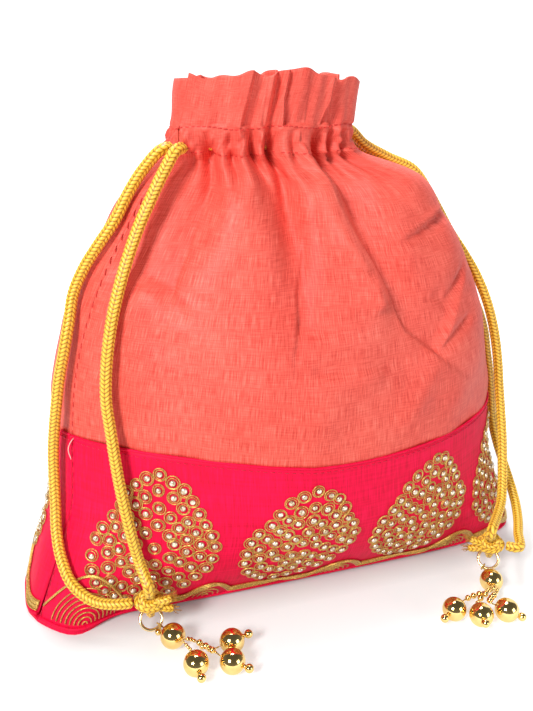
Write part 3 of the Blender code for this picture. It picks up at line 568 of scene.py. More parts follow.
def path_frames(points):
    """Directions along a path, and two across it that don't twist."""
    ahead = np.gradient(points, axis=0)
    ahead /= np.linalg.norm(ahead, axis=1, keepdims=True)
    side = np.cross(ahead[0], (0.3, 0.2, 1.0))
    sides = []
    for way in ahead:
        side = unit(side - way * np.dot(side, way))
        sides.append(side)
    sides = np.array(sides)
    return ahead, sides, np.cross(ahead, sides)


def rings_along(points, radius, turn):
    """A ring of vertices at each point of a path, with its vertices at these turns."""
    _, side, other = path_frames(points)
    return points[:, None] + radius * (
        np.cos(turn)[None, :, None] * side[:, None] + np.sin(turn)[None, :, None] * other[:, None])


def end_faces(rows, columns, around):
    """The two end faces of a tube."""
    last = (rows - 1) * columns
    return [tuple(range(around))[::-1], tuple(range(last, last + around))]


def tube_mesh(points, radius, around):
    """Vertices and faces of a round tube with closed ends."""
    points = np.asarray(points, float)
    ring = rings_along(points, radius, np.linspace(0, 2 * math.pi, around, endpoint=False))
    faces = grid_faces(len(points), around, closed=True) + end_faces(len(points), around, around)
    return ring.reshape(-1, 3), faces


def resample(points, step):
    """The path's points at even steps, and the distance travelled to each."""
    points = np.asarray(points, float)
    run = travelled_along(points)
    at = np.linspace(0, run[-1], max(2, int(round(run[-1] / step)) + 1))
    return np.stack([np.interp(at, run, points[:, i]) for i in range(3)], axis=1), at


def braid(heap, route, radius, step=0.00032, around=30):
    """A braided cord along a route, with every stitch raised."""
    points, run = resample(route, step)
    turn = np.arange(around + 1) / around * BRAID_COLUMNS
    zigzag = np.abs((turn + 1) % 2 - 1)
    phase = run[:, None] / BRAID_STITCH + STITCH_SLANT * zigzag[None]
    out = np.abs(np.cos(np.pi * phase)) ** 0.6 * np.abs(np.sin(np.pi * turn))[None] ** 0.5
    ends = np.clip(np.minimum(run, run[-1] - run) / BRAID_ROUNDED, 0, 1)
    wide = radius * (BRAID_CORE + BRAID_RELIEF * out) * (0.7 + 0.3 * np.sqrt(ends))[:, None]
    ring = rings_along(points, wide[..., None], 2 * math.pi * turn / BRAID_COLUMNS)
    uvs = np.stack(np.broadcast_arrays(turn[None], (run / BRAID_STITCH)[:, None]), axis=-1).reshape(-1, 2)
    faces = grid_faces(len(points), around + 1) + end_faces(len(points), around + 1, around)
    heap.put(ring.reshape(-1, 3), faces, 0, uvs)


# The finished form: how far the silk settled from its pattern once the bag was drawn shut
NECK_MIDDLE = -0.002
NECK_FROM, NECK_REACH = 0.172, 0.014
CASING_PULLED, RUFFLE_PULLED = 0.065, 0.085
NECK_SIDEWAYS, RUFFLE_SIDEWAYS = 0.0040, 0.0022
FLANK_HEIGHT, FLANK_REACH, FLANK_IN = 0.088, 0.046, 0.030
SEAM_RISE, SEAM_RISE_PLACE, SEAM_RISE_REACH = 0.0034, -0.058, 0.045
SEAM_RISE_TOP, SEAM_RISE_FADE = 0.135, 0.06
CORNER_PLACE, CORNER_REACH, CORNER_HEIGHT = 0.028, 0.024, 0.016
CORNER_PRESSED = (0.0010, -0.0100, 0.0)


def settled(points):
    """The neck as it was pulled in: narrower than the pattern above the shoulder and drawn to one side."""
    points = np.array(points, float)
    high = eased(np.clip((points[..., 2] - NECK_FROM) / NECK_REACH, 0, 1))
    ruffle = np.clip((points[..., 2] - CASING_TOP) / RUFFLE_HEIGHT, 0, 1)
    narrow = 1 - CASING_PULLED * high - RUFFLE_PULLED * ruffle
    moved = high * NECK_SIDEWAYS - ruffle * RUFFLE_SIDEWAYS
    points[..., 0] = NECK_MIDDLE + (points[..., 0] - NECK_MIDDLE) * narrow - moved
    return points


def slimmed(points):
    """The silk as it hangs: a little in at the flanks, with its seam drawn up on the left."""
    points = np.array(points, float)
    z = points[..., 2]
    points[..., 0] *= 1 - FLANK_IN * bell(z, FLANK_HEIGHT, FLANK_REACH)
    rise = np.clip(z / BAND_HEIGHT, 0, 1) * np.clip((SEAM_RISE_TOP - z) / SEAM_RISE_FADE, 0, 1)
    on_left = bell(points[..., 0], SEAM_RISE_PLACE, SEAM_RISE_REACH)
    points[..., 2] += SEAM_RISE * rise * on_left * (points[..., 1] < 0)
    return points


def formed_row(height, shares, proud=0.0):
    """A row of the cloth with its front left foot corner pressed out square."""
    points = cloth_row(height, shares, proud)
    shares = np.asarray(shares, float)
    corner = bell(shares, CORNER_PLACE, CORNER_REACH) * math.exp(-max(height, 0) / CORNER_HEIGHT)
    points = points + corner[:, None] * np.array(CORNER_PRESSED)
    return settled(slimmed(points))


# The camera stands 20 degrees above level, to the left of the bag
TURNED = math.radians(-17.945)
camera_data = bpy.data.cameras.new("camera")
camera = bpy.data.objects.new("camera", camera_data)
bpy.context.scene.collection.objects.link(camera)
camera.location = (-0.100, -0.2858, 0.208)
camera.rotation_euler = (math.radians(70), 0, TURNED)
camera_data.sensor_width = 36
camera_data.lens = 37.5696
camera_data.clip_start = 0.01
bpy.context.scene.camera = camera

# Drawstrings: two free strands each, and a run inside the casing
PATH_STEP = 0.002
DRAWSTRINGS = (
    ("left", 0.0, LEFT_CORD_LEVEL, (LEFT_FRONT_ROUTE, LEFT_REAR_ROUTE)),
    ("right", 0.5, RIGHT_CORD_LEVEL, (RIGHT_FRONT_ROUTE, RIGHT_REAR_ROUTE)),
)
for side, seam, level, routes in DRAWSTRINGS:
    for place, route in zip(("front", "rear"), routes):
        aside = CORD_PITCH / 2 * (1 if (place == "front") == (side == "left") else -1)
        ends = strand_route(seam, level, aside, route, arrival(TASSELS[side], place))
        line = smooth_path(settled(ends), PATH_STEP)
        heap = Heap()
        braid(heap, line, CORD / 2)
        strand = heap.make(f"{side}_{place}_braid", [BRAID], "bag", "gold_cord", [f"{side}_{place}_cord"])
        path = [list(map(float, point)) for point in line]
    heap = Heap()
    braid(heap, settled(smooth_path(inside_casing(seam, level), PATH_STEP)), 0.3 * CORD, 0.0008, 18)
    heap.make(f"{side}_casing_braid", [BRAID], "bag", "gold_cord", [f"{side}_cord_in_casing"])

# The cloth's creases


def creased(x, z, line, depth, width, one_side=0, fade=4.0):
    """A crease along a line on the cloth, in millimetres. With one_side the cloth drops at the line and
    recovers slowly to its right (1) or left (-1)."""
    line = np.array(line, float)
    best = np.full(x.shape, 1e9)
    signed = np.zeros(x.shape)
    along = np.zeros(x.shape)
    run = 0.0
    for (x0, z0), (x1, z1) in zip(line, line[1:]):
        length = math.hypot(x1 - x0, z1 - z0)
        ux, uz = (x1 - x0) / length, (z1 - z0) / length
        t = np.clip((x - x0) * ux + (z - z0) * uz, 0, length)
        dx, dz = x - x0 - t * ux, z - z0 - t * uz
        distance = np.hypot(dx, dz)
        nearer = distance < best
        best = np.where(nearer, distance, best)
        signed = np.where(nearer, np.sign(dz * ux - dx * uz), signed)
        along = np.where(nearer, run + t, along)
        run += length
    taper = 0.15 + 0.85 * eased(np.clip(along / fade, 0, 1) * np.clip((run - along) / fade, 0, 1))
    if not one_side:
        return depth * bell(best, 0, width) * taper
    drop = np.where(signed * one_side > 0, 1 - bell(best, 0, CREASE_EDGE), 0) * np.exp(-best / width)
    return depth * 1.6 * drop * taper


def undulation(x, z, seed, size, waves=9):
    """Slow unevenness of cloth that was folded and handled."""
    rng = np.random.default_rng(seed)
    total = np.zeros(x.shape)
    for _ in range(waves):
        angle, phase = rng.uniform(0, math.pi), rng.uniform(0, 2 * math.pi)
        wave = rng.uniform(14, 46)
        total += np.sin((x * math.cos(angle) + z * math.sin(angle)) * 2 * math.pi / wave + phase)
    return size * total / math.sqrt(waves)


# Each crease has its line (across and height), its depth, its width, and the side on which the cloth drops.
# These are in millimetres.
CREASE_EDGE = 0.9
FRONT_CREASES = (
    ([(-32, 182), (-36, 176), (-42, 165), (-49, 154), (-55, 142), (-57, 138)], 2.4, 2.6, 0),
    ([(-31, 182), (-34, 174), (-40, 163), (-46, 152), (-52, 141), (-54, 135)], 3.2, 9.0, -1),
    ([(-57, 140), (-54, 135), (-50, 127)], 0.8, 3.5, 0),
    ([(-64, 145), (-60, 142), (-56, 140)], 1.0, 2.2, 0),
    ([(-16, 182), (-13, 173), (-10, 163)], 1.8, 2.0, 0),
    ([(-5, 182), (-4, 173), (-2, 162), (-5, 150), (-9, 139), (-12, 124)], 4.2, 7.0, 1),
    ([(-3, 178), (-1, 166), (-2, 154)], 2.4, 1.8, 0),
    ([(9, 182), (11, 169), (17, 158), (25, 145), (30, 136), (37, 121), (54, 108)], 4.3, 11.0, 1),
    ([(-12, 184), (-10, 176), (-8, 168)], 2.0, 1.5, 0),
    ([(-23, 184), (-25, 178), (-28, 171)], 1.4, 1.8, 0),
    ([(4, 178), (7, 165), (13, 153), (21, 141), (27, 130)], -1.9, 4.2, 0),
    ([(9, 152), (15, 148), (20, 144), (24, 140)], 1.0, 1.5, 0),
    ([(16, 182), (19, 175), (24, 167)], 2.4, 2.4, 0),
    ([(22, 187), (31, 179), (43, 170)], 1.8, 2.8, 0),
    ([(67, 159), (55, 156), (40, 152), (27, 145)], 1.5, 1.5, 0),
    ([(67, 161), (55, 158), (40, 154), (29, 148)], -0.8, 1.0, 0),
    ([(34, 126), (45, 129), (57, 129.5), (60.5, 127), (66, 131), (73, 137)], 1.1, 1.6, 0),
    ([(38, 129), (47, 131.5), (56, 132)], -0.5, 1.5, 0),
    ([(76, 119), (64, 114), (52, 108)], 1.0, 1.6, 0),
    ([(-8, 112), (6, 113), (22, 112), (40, 109)], 0.7, 3.0, 0),
    ([(-8, 106), (10, 107.5), (26, 107)], -0.4, 3.0, 0),
    ([(-76, 139), (-69, 149), (-62, 161)], 0.9, 2.0, 0),
    ([(-68, 136), (-63, 147), (-57, 158)], 0.8, 1.8, 0),
    ([(-44, 184), (-50, 172), (-58, 160)], 1.2, 2.4, 0),
)
BACK_CREASES = (
    ([(-30, 182), (-38, 165), (-50, 145)], 2.2, 2.6, 0),
    ([(-6, 182), (-4, 160), (2, 130)], 2.6, 2.8, 0),
    ([(14, 182), (22, 162), (38, 138)], 2.4, 2.6, 0),
    ([(32, 182), (44, 168), (60, 150)], 1.8, 2.4, 0),
    ([(60, 120), (30, 126), (10, 122)], 0.8, 2.4, 0),
    ([(-70, 124), (-44, 116), (-20, 118)], 0.7, 2.4, 0),
)
RUFFLE_FRONT = (
    ([(-31, 213), (-30, 203), (-30, 193)], 1.6, 3.6, 0),
    ([(-20.5, 213), (-20.5, 203), (-21, 191)], 2.6, 4.0, 1),
    ([(-13, 213), (-12.5, 203), (-11.5, 192)], 1.3, 1.0, 0),
    ([(-5, 213), (-5, 203), (-3, 191)], 4.0, 4.5, 1),
    ([(-1, 204), (0, 198), (1, 192)], 0.9, 1.4, 0),
    ([(8, 213), (7, 203), (6, 192)], 1.4, 3.0, 0),
    ([(17, 213), (17, 203), (13, 191)], 3.0, 4.0, 1),
    ([(25, 213), (24, 203), (21, 193)], 1.2, 2.4, 0),
)
# The pattern's folds are deeper in the silk, and calmer above the casing by these shares
FOLD_GAIN = 1.45
CREASE_GAIN = 2.1
DEEPEST = 6.0
DEEPEST_IN_CASING = 1.6
RUFFLE_CALM = (0.0, 0.0, 0.15, 0.4, 0.55, 0.0, 0.2, 0.55, 0.3)
# The casing's tucks: wavelength, tilt, phase and size. Their middle and reach are heights, and the neck's way
# round is as long as this for them.
TUCKS = ((7.4, 0.45, 0.4, 0.95), (5.1, -0.6, 1.9, 0.70), (11.3, 0.2, 3.0, 0.85))
TUCK_MIDDLE, TUCK_REACH, TUCK_GIRTH = 188.7, 4.6, 195
SEAM_SIDE, LOBE_REACH = 0.012, 0.045


def cloth_detail(front, points, shares, height):
    """Inward depth of the finer folds at these points of the upper, in metres."""
    x, z = points[:, 0] * 1000, np.full(len(points), height * 1000)
    depth = undulation(x * (1 if front else -1) + 300 * (not front), z, 5 if front else 8, 0.42)
    for line, deep, width, one_side in FRONT_CREASES if front else BACK_CREASES:
        depth += CREASE_GAIN * creased(x, z, line, deep, width, one_side)
        depth += 0.9 * creased(x, z, line, deep, width * 3.0, 0, 12.0)
    if front:
        for line, deep, width, one_side in RUFFLE_FRONT:
            depth += creased(x, z, line, deep, width, one_side, 0.5) * np.clip((z - 190) / 5, 0, 1)
    arc = shares * TUCK_GIRTH
    for wave, tilt, phase, size in TUCKS:
        place = (arc + tilt * (z - TUCK_MIDDLE)) * 2 * math.pi / wave
        depth += bell(z, TUCK_MIDDLE, TUCK_REACH) * size * np.sin(place + phase)
    for row, size in ((NECK_HEIGHT * 1000, 0.9), (CASING_TOP * 1000, 0.8)):
        depth += size * bell(z, row + 0.6 * np.sin(arc / 5.3), 0.75)
    in_casing = np.clip((z - 182) / 2, 0, 1) * np.clip((196 - z) / 2, 0, 1)
    depth = np.where(depth > 0, DEEPEST * np.tanh(depth / DEEPEST), depth)
    depth = np.minimum(depth, DEEPEST - (DEEPEST - DEEPEST_IN_CASING) * in_casing)
    from_seam = np.abs(np.mod(shares + 0.25, 0.5) - 0.25)
    lobe = bell(from_seam, 0, LOBE_REACH) * bell(z, 189.5, 5.0) * (2.6 if front else 1.0)
    return (depth * np.clip(from_seam / SEAM_SIDE, 0, 1) - lobe) / 1000


def cloth_points(height, shares, proud, finer):
    """The cloth's finished surface. Only the finer one has creases on the pattern's folds."""
    if not finer:
        return formed_row(height, shares, proud)
    front = shares[len(shares) // 2] < 0.5
    rise = min(1.0, max(0.0, height - NECK_HEIGHT) / CASING_HEIGHT)
    folds = tuple(
        (*fold[:3], fold[3] * (FOLD_GAIN - rise * (FOLD_GAIN - calm)), *fold[4:])
        for fold, calm in zip(FRONT_FOLDS, RUFFLE_CALM)
    ) if front else FRONT_FOLDS
    base = cloth_row(height, shares, proud, folds)
    deep = cloth_detail(front, base, shares, height)
    millimetre = 0.001
    inward = cloth_row(height, shares, proud - millimetre, folds) - base
    return settled(slimmed(base + inward * (deep / millimetre)[:, None]))


def ruffle_rise(front, x):
    """The ruffle's hem wanders up and down."""
    wave = 0.0009 * np.sin(x * 260 + (0.6 if front else 2.2)) + 0.0006 * np.sin(x * 610 + 1.0)
    if front:
        return wave + 0.0030 * bell(x, -0.0045, 0.0055) - 0.0036 * np.clip((x - 0.019) / 0.012, 0, 1)
    return wave + 0.0035 * bell(x, 0.006, 0.007) + 0.0022 * bell(x, 0.030, 0.009)


def cloth_sheet(name, node, start, heights, columns, finer, material):
    """A cloth panel with both its faces and its edges."""
    around = np.array([outline(h)[1][-1] for h in heights])
    middle = around.mean() if not finer else around[0]
    vertices, uvs = [], []
    width = columns + 1
    for proud in (0.0, -CLOTH):
        for height in heights:
            edge = seam_edge(height, finer) * (UPPER_SEAM_GAP if finer else 1)
            shares = np.linspace(start + edge, start + 0.5 - edge, width)
            row = cloth_points(height, shares, proud, finer)
            if finer:
                rise = np.clip((height - CASING_TOP) / RUFFLE_HEIGHT, 0, 1)
                row[:, 2] += ruffle_rise(start < 0.5, row[:, 0]) * rise
            vertices.append(row)
            uvs.append(np.stack([shares * middle, np.full(width, height)], axis=1))
    rows = len(heights)
    inner, last = rows * width, (rows - 1) * width
    faces = grid_faces(rows, width) + [face[::-1] for face in grid_faces(rows, width, inner)]
    for i in range(rows - 1):
        left, right = i * width, i * width + columns
        faces.append((left, left + width, left + width + inner, left + inner))
        faces.append((right + width, right, right + inner, right + width + inner))
    for j in range(columns):
        faces.append((j + 1, j, j + inner, j + 1 + inner))
        faces.append((last + j, last + j + 1, last + j + 1 + inner, last + j + inner))
    points, uvs = np.concatenate(vertices), np.concatenate(uvs)
    return make(name, points, faces, [material], "bag", uvs, None, [node])


UPPER_SEAM_GAP = 0.15
UPPER_ROWS = np.concatenate([
    np.linspace(BAND_HEIGHT + GAP / 2, NECK_HEIGHT - 0.002, 78),
    np.linspace(NECK_HEIGHT - SEAM_OPENING_RISE, CASING_TOP + SEAM_OPENING_RISE, 20),
    np.linspace(CASING_TOP + 0.001, TOP, 24),
])
BAND_ROWS = np.linspace(BASE_THICKNESS + GAP, BAND_HEIGHT - GAP / 2, 40)
for side, start, columns in (("front", 0.0, 250), ("back", 0.5, 150)):
    rows = UPPER_ROWS if side == "front" else UPPER_ROWS[::2]
    name = f"upper_{side}"
    upper = cloth_sheet(f"{name}_silk", name, start, rows, columns, True, CORAL)
    name = f"band_{side}"
    band = cloth_sheet(f"{name}_silk", name, start, BAND_ROWS, 150, False, PINK)

COUNT = 180
rim = formed_row(0.0, np.linspace(0, 1, COUNT + 1)[:-1])
ring = [[x, y, z] for z in (0.0, BASE_THICKNESS) for x, y, _ in rim]
faces = grid_faces(2, COUNT, closed=True) + end_faces(2, COUNT, COUNT)
uvs = [(x, y) for x, y, _ in ring]
base = make("base_silk", ring, faces, [PINK], "bag", uvs, None, ["base_panel"])
base.data.shade_flat()

# Seams and stitches
FRAME_STEP = 0.0012


def surface_frame(share, height, upper=False):
    """A place on the cloth with its directions along, up and out."""
    step = FRAME_STEP
    around = outline(height)[1][-1]
    shares = np.array([share, share + step / around])
    if upper:
        spread = np.linspace(share - 0.001, share + 0.001, 5)
        here = cloth_points(height, spread, 0.0, True)[2]
        beside = cloth_points(height, spread + step / around, 0.0, True)[2]
        above = cloth_points(height + step, spread, 0.0, True)[2]
    else:
        here, beside = formed_row(height, shares)
        above = formed_row(height + step, shares)[0]
    along = unit(beside - here)
    up = above - here
    out = unit(np.cross(along, up))
    return here, along, np.cross(out, along), out


STITCH_THREAD = 0.00019
STITCH_LIFT = 0.00022
STITCH_DIP = 0.0002


def stitch_row(heap, places, half, index=0):
    """Stitches of this half length, which go in at both ends."""
    for here, way, out in places:
        line = [here + way * half * share + out * high for share, high in (
            (-1, -STITCH_DIP), (-0.6, STITCH_LIFT), (0.6, STITCH_LIFT), (1, -STITCH_DIP))]
        heap.tube(line, STITCH_THREAD, 5, index)


def row_places(start, height, pitch, upper, wander=0.0):
    """Where a row's stitches go along half the bag."""
    count = int(0.5 * outline(height)[1][-1] / pitch)
    places = []
    for k in range(count):
        share = start + 0.5 * (k + 0.5) / count
        here, along, _, out = surface_frame(share, height + wander * math.sin(share * 37), upper)
        places.append((here, along, out))
    return places


# Each row of stitches: its height, pitch, whether it is on the upper, its wander, half length and thread
STITCH_ROWS = (
    (BAND_HEIGHT - 0.0022, 0.0028, False, 0.0, 0.00085, 0),
    (0.0026, 0.0032, False, 0.0, 0.0010, 0),
    (NECK_HEIGHT + 0.0002, 0.0022, True, 0.0006, 0.0007, 1),
    (CASING_TOP, 0.0022, True, 0.0006, 0.0007, 1),
)
SEAM_STITCH_HEIGHTS = np.arange(0.0045, 0.180, 0.0042)
# The turned edges of the band: height, how far out, and radius
TURNED_EDGES = ((BAND_HEIGHT - 0.0002, 0.0001, 0.0006), (BASE_THICKNESS + 0.0007, 0.0002, 0.0008))
EDGE_COLUMNS, EDGE_SIDES, EDGE_END = 160, 8, 0.0006
for side, start in (("front", 0.0), ("back", 0.5)):
    heap = Heap()
    for height, pitch, upper, wander, half, index in STITCH_ROWS:
        stitch_row(heap, row_places(start, height, pitch, upper, wander), half, index)
    if side == "front":
        for height in SEAM_STITCH_HEIGHTS:
            for share in (0.0012, 0.4988):
                here, along, up, out = surface_frame(share, height)
                stitch_row(heap, [(here, up, out)], 0.0012, 0 if height < BAND_HEIGHT else 1)
        # A loose end of pale thread at the left seam
        here, along, up, out = surface_frame(0.003, BAND_HEIGHT - 0.001)
        loose = [here, here + out * 0.0012 - up * 0.001, here + out * 0.0018 - up * 0.0045 - along * 0.0008,
                 here + out * 0.0012 - up * 0.0085 + along * 0.0004]
        heap.tube(smooth_path(loose, 0.0006), 0.00020, 5, 2)
    heap.make(f"stitches_{side}", [PINK_THREAD, CORAL_THREAD, PALE_THREAD], "bag", "band_silk")
    lip = Heap()
    shares = np.linspace(start + EDGE_END, start + 0.5 - EDGE_END, EDGE_COLUMNS)
    around_lip = np.tile(np.linspace(0, 0.004, EDGE_SIDES), EDGE_COLUMNS)
    uvs = np.column_stack([np.repeat(shares, EDGE_SIDES) * 0.5, around_lip])
    for height, proud, radius in TURNED_EDGES:
        lip.tube(formed_row(height, shares, proud), radius, EDGE_SIDES, 0, uvs)
    lip.make(f"turned_edges_{side}", [PINK], "bag", "band_silk")


# Embroidery


def ring_shape(heap, middle, along, up, out, major, minor, lift, steps, sides, index=0):
    """A ring of wire that lies on the cloth, this far out from it."""
    turn = np.linspace(0, 2 * math.pi, steps, endpoint=False)
    tilt = np.linspace(0, 2 * math.pi, sides, endpoint=False)
    radial = np.cos(turn)[:, None] * along + np.sin(turn)[:, None] * up
    points = (middle + out * lift + radial[:, None] * (major + minor * np.cos(tilt))[None, :, None]
              + out * (minor * np.sin(tilt))[None, :, None]).reshape(-1, 3)
    faces = []
    for i in range(steps):
        this, following = i * sides, (i + 1) % steps * sides
        for j in range(sides):
            k = (j + 1) % sides
            faces.append((this + j, following + j, following + k, this + k))
    heap.put(points, faces, index)


def stone_shape(heap, middle, along, up, out, radius, index):
    """A faceted stone in its setting."""
    rings = ((1.0, 0.25), (0.92, 0.62), (0.55, 0.92))
    points, count = [], 8
    for k, (share, high) in enumerate(rings):
        for i in range(count):
            turn = 2 * math.pi * (i + 0.5 * k) / count
            spoke = math.cos(turn) * along + math.sin(turn) * up
            points.append(middle + radius * share * spoke + out * high * radius)
    faces = [tuple(range(count))[::-1], tuple(range(2 * count, 3 * count))]
    for k in range(2):
        for i in range(count):
            a, b = k * count + i, k * count + (i + 1) % count
            faces += [(a, b, a + count), (b, b + count, a + count)]
    heap.put(points, faces, index)


def rosette_places(half):
    """Where a motif's rosettes go: ring inside ring, all following the motif's pointed outline."""
    turn = np.linspace(-math.pi, math.pi, 361)
    point = np.clip(1 - np.abs(turn) / math.radians(58), 0, 1)
    reach = half * (1 + 0.27 * point**1.3 - 0.085 * bell(np.abs(turn), 0.85, 0.33))
    places = []
    inset = OUTER_INSET
    while half - inset > SMALLEST_ROW:
        inner = reach * (1 - inset / half)
        line = np.stack([inner * np.sin(turn), inner * np.cos(turn)], axis=1)
        run = travelled_along(line)
        count = int(run[-1] / ROSETTE_PITCH)
        at = np.mod(0.5 * run[-1] + np.arange(count) / count * run[-1], run[-1])
        places += [(np.interp(a, run, line[:, 0]), np.interp(a, run, line[:, 1])) for a in at]
        inset += ROW_PITCH
    if half - inset > -SMALLEST_ROW:
        places.append((0.0, 0.0008))
    return places


# How far in the outer row of rosettes lies, the pitch between rows and along them, and the smallest row
OUTER_INSET, ROW_PITCH, ROSETTE_PITCH, SMALLEST_ROW = 0.0029, 0.0054, 0.00565, 0.0030
# A rosette: two rings of wire (radius, wire and lift) round a stone, and how far it strays from its place
OUTER_RING, INNER_RING = (0.00275, 0.00022, 0.0004), (0.00208, 0.00018, 0.0005)
STONE_RADIUS, STRAY = 0.00132, 0.00042
# Each motif: its distance from the seam, half its size, the height of its foot, and how far it leans
FRONT_ROSETTES = ((0.0400, 0.0272, 0.0090, 0.08), (0.1000, 0.0252, 0.0105, 0.22),
                  (0.157, 0.0256, 0.0110, 0.28), (0.213, 0.0256, 0.0110, 0.20))
BACK_ROSETTES = tuple((distance, 0.0255, 0.0100, 0.0) for distance in BACK_MOTIFS)
# Each half moon of the border: its distance from the seam, half its width, and its height
FRONT_MOONS = ((0.0180, 0.0135, 0.0160), (0.0690, 0.0062, 0.0064), (0.1270, 0.0082, 0.0064),
               (0.1860, 0.0085, 0.0075))
BACK_MOONS = ((0.0100, 0.0080, 0.0080), (0.0690, 0.0082, 0.0070), (0.1270, 0.0082, 0.0070),
              (0.1860, 0.0085, 0.0075), (0.2290, 0.0095, 0.0145))
RIBBON_ROWS, RIBBON_COLUMNS, RIBBON_END = 4, 260, 0.0018
for side, start, motifs in (("front", 0.0, FRONT_ROSETTES), ("back", 0.5, BACK_ROSETTES)):
    steps, sides = (22, 5) if side == "front" else (14, 3)
    for number, (distance, half, foot, lean) in enumerate(motifs, 1):
        heap = Heap()
        middle = foot + half
        around = outline(middle)[1][-1]
        share = start + distance / around
        for a, b in rosette_places(half):
            a, b = a + lean * b + random.normal(0, STRAY), b + random.normal(0, STRAY)
            here, along, up, out = surface_frame(share + a / around, middle + b)
            spin, size = random.uniform(0, math.pi), random.uniform(0.92, 1.10)
            c, s = math.cos(spin), math.sin(spin)
            along, up = along * c + up * s, up * c - along * s
            out = unit(out + 0.10 * random.normal(size=3))
            oval = up * random.uniform(0.88, 1.0)
            radius, wire, lift = OUTER_RING
            ring_shape(heap, here, along, oval, out, radius * size, wire, lift, steps, sides)
            aside = (along * random.normal() + up * random.normal()) * 0.00018
            radius, wire, lift = INNER_RING
            ring_shape(heap, here + aside, along, oval, out, radius * size, wire, lift, steps - 6, sides)
            aside = (along * random.normal() + up * random.normal()) * 0.00016
            stone_shape(heap, here + aside + out * 0.0001, along, up, out, STONE_RADIUS * size, 1)
        motif = f"motif_{side}_{number}"
        heap.make(f"rosettes_{side}_{number}", [WIRE, STONE], "bag", "gold_embroidery", [motif])
    heap = Heap()
    around = outline(BORDER_FOOT)[1][-1]
    shares = np.linspace(start + RIBBON_END, start + 0.5 - RIBBON_END, RIBBON_COLUMNS)
    run = (shares - start) * around
    tall = np.full(len(run), 0.0042) + 0.0006 * np.sin(run * 95) + 0.0004 * np.sin(run * 210 + 1)
    moons = FRONT_MOONS if side == "front" else BACK_MOONS
    for centre, wide, high in moons:
        off = np.clip(np.abs(run - centre) / (wide + 0.004), 0, 1)
        tall = np.maximum(tall, 0.0030 + (high + 0.0014) * np.cos(off * math.pi / 2) ** 0.8)
    thick = 0.0014 + 0.0030 * np.abs(np.sin((run - 0.043) * math.pi / 0.0290)) ** 0.8
    if side == "front":
        thick = 0.0006 + (thick - 0.0006) * np.clip((run - 0.036) / 0.008, 0, 1)
    top = BORDER_FOOT + tall

    def along_border(heights, proud):
        return [formed_row(h, [share], proud)[0] for share, h in zip(shares, heights)]

    strip = []
    for proud in (0.0003, 0.0009):
        for k in range(RIBBON_ROWS):
            strip += along_border(top - thick * (1 - k / (RIBBON_ROWS - 1)), proud)
    count, inner = RIBBON_COLUMNS, RIBBON_ROWS * RIBBON_COLUMNS
    faces = [f[::-1] for f in grid_faces(RIBBON_ROWS, count)] + grid_faces(RIBBON_ROWS, count, inner)
    for a in range(0, inner - count, count):
        b = a + count - 1
        faces.append((a + inner, a + count + inner, a + count, a))
        faces.append((b, b + count, b + count + inner, b + inner))
    last = inner - count
    for j in range(count - 1):
        k = last + j
        faces.append((j, j + 1, j + 1 + inner, j + inner))
        faces.append((k + inner, k + 1 + inner, k + 1, k))
    heap.put(strip, faces, 1)
    for share in (0.06, 0.5, 0.94):
        heap.tube(along_border(top - thick * share, 0.0010), 0.00030, 6)
    for centre, wide, high in moons:
        rings = max(3, int(wide / 0.00165))
        for k in range(rings):
            part = (k + 0.6) / rings
            turn = np.linspace(0.0, math.pi, 34)
            spots = [(centre + wide * part * math.cos(t), BORDER_FOOT + high * part * math.sin(t))
                     for t in turn]
            spots = [(a, h) for a, h in spots if 0.0010 < a < 0.5 * around - 0.0010]
            if len(spots) < 5:
                continue
            heap.tube([formed_row(h, [start + a / around], 0.0007)[0] for a, h in spots], 0.00026, 5)
    heap.make(f"border_{side}", [WIRE, RIBBON], "bag", "gold_embroidery", [f"couched_border_{side}"])


# Knots, rings and beads


def ball(heap, middle, radius, axis, steps=40, rows=22, hole=0.0):
    """A round bead along its axis, with a blind hole at both ends if it has this radius."""
    axis = unit(axis)
    side = unit(np.cross(axis, (0.31, 0.2, 0.93)))
    other = np.cross(axis, side)
    low = math.asin(min(0.9, hole / radius)) if hole else 0.02
    tilt = np.linspace(low, math.pi - low, rows)
    turn = np.linspace(0, 2 * math.pi, steps, endpoint=False)
    spokes = [math.cos(a) * side + math.sin(a) * other for a in turn]
    points = [middle + radius * (math.cos(t) * axis + math.sin(t) * spoke) for t in tilt for spoke in spokes]
    faces = [face[::-1] for face in grid_faces(rows, steps, closed=True)]
    if hole:
        depth = radius * math.cos(low) - HOLE_DEPTH
        start = len(points)
        for sign, base in ((1, 0), (-1, (rows - 1) * steps)):
            points += [middle + sign * depth * axis + hole * spoke for spoke in spokes]
            for j in range(steps):
                n = (j + 1) % steps
                quad = (base + j, base + n, start + n, start + j)
                faces.append(quad if sign > 0 else quad[::-1])
            cap = tuple(range(start, start + steps))
            faces.append(cap if sign > 0 else cap[::-1])
            start += steps
    else:
        faces += [face[::-1] for face in end_faces(rows, steps, steps)]
    heap.put(points, faces)


def bead(name, middle, radius, axis, body, node, steps, rows, hole=0.0):
    """One gold bead as a piece."""
    heap = Heap()
    ball(heap, middle, radius, axis, steps, rows, hole)
    heap.make(name, [POLISHED], body, "gold_beads", [node])


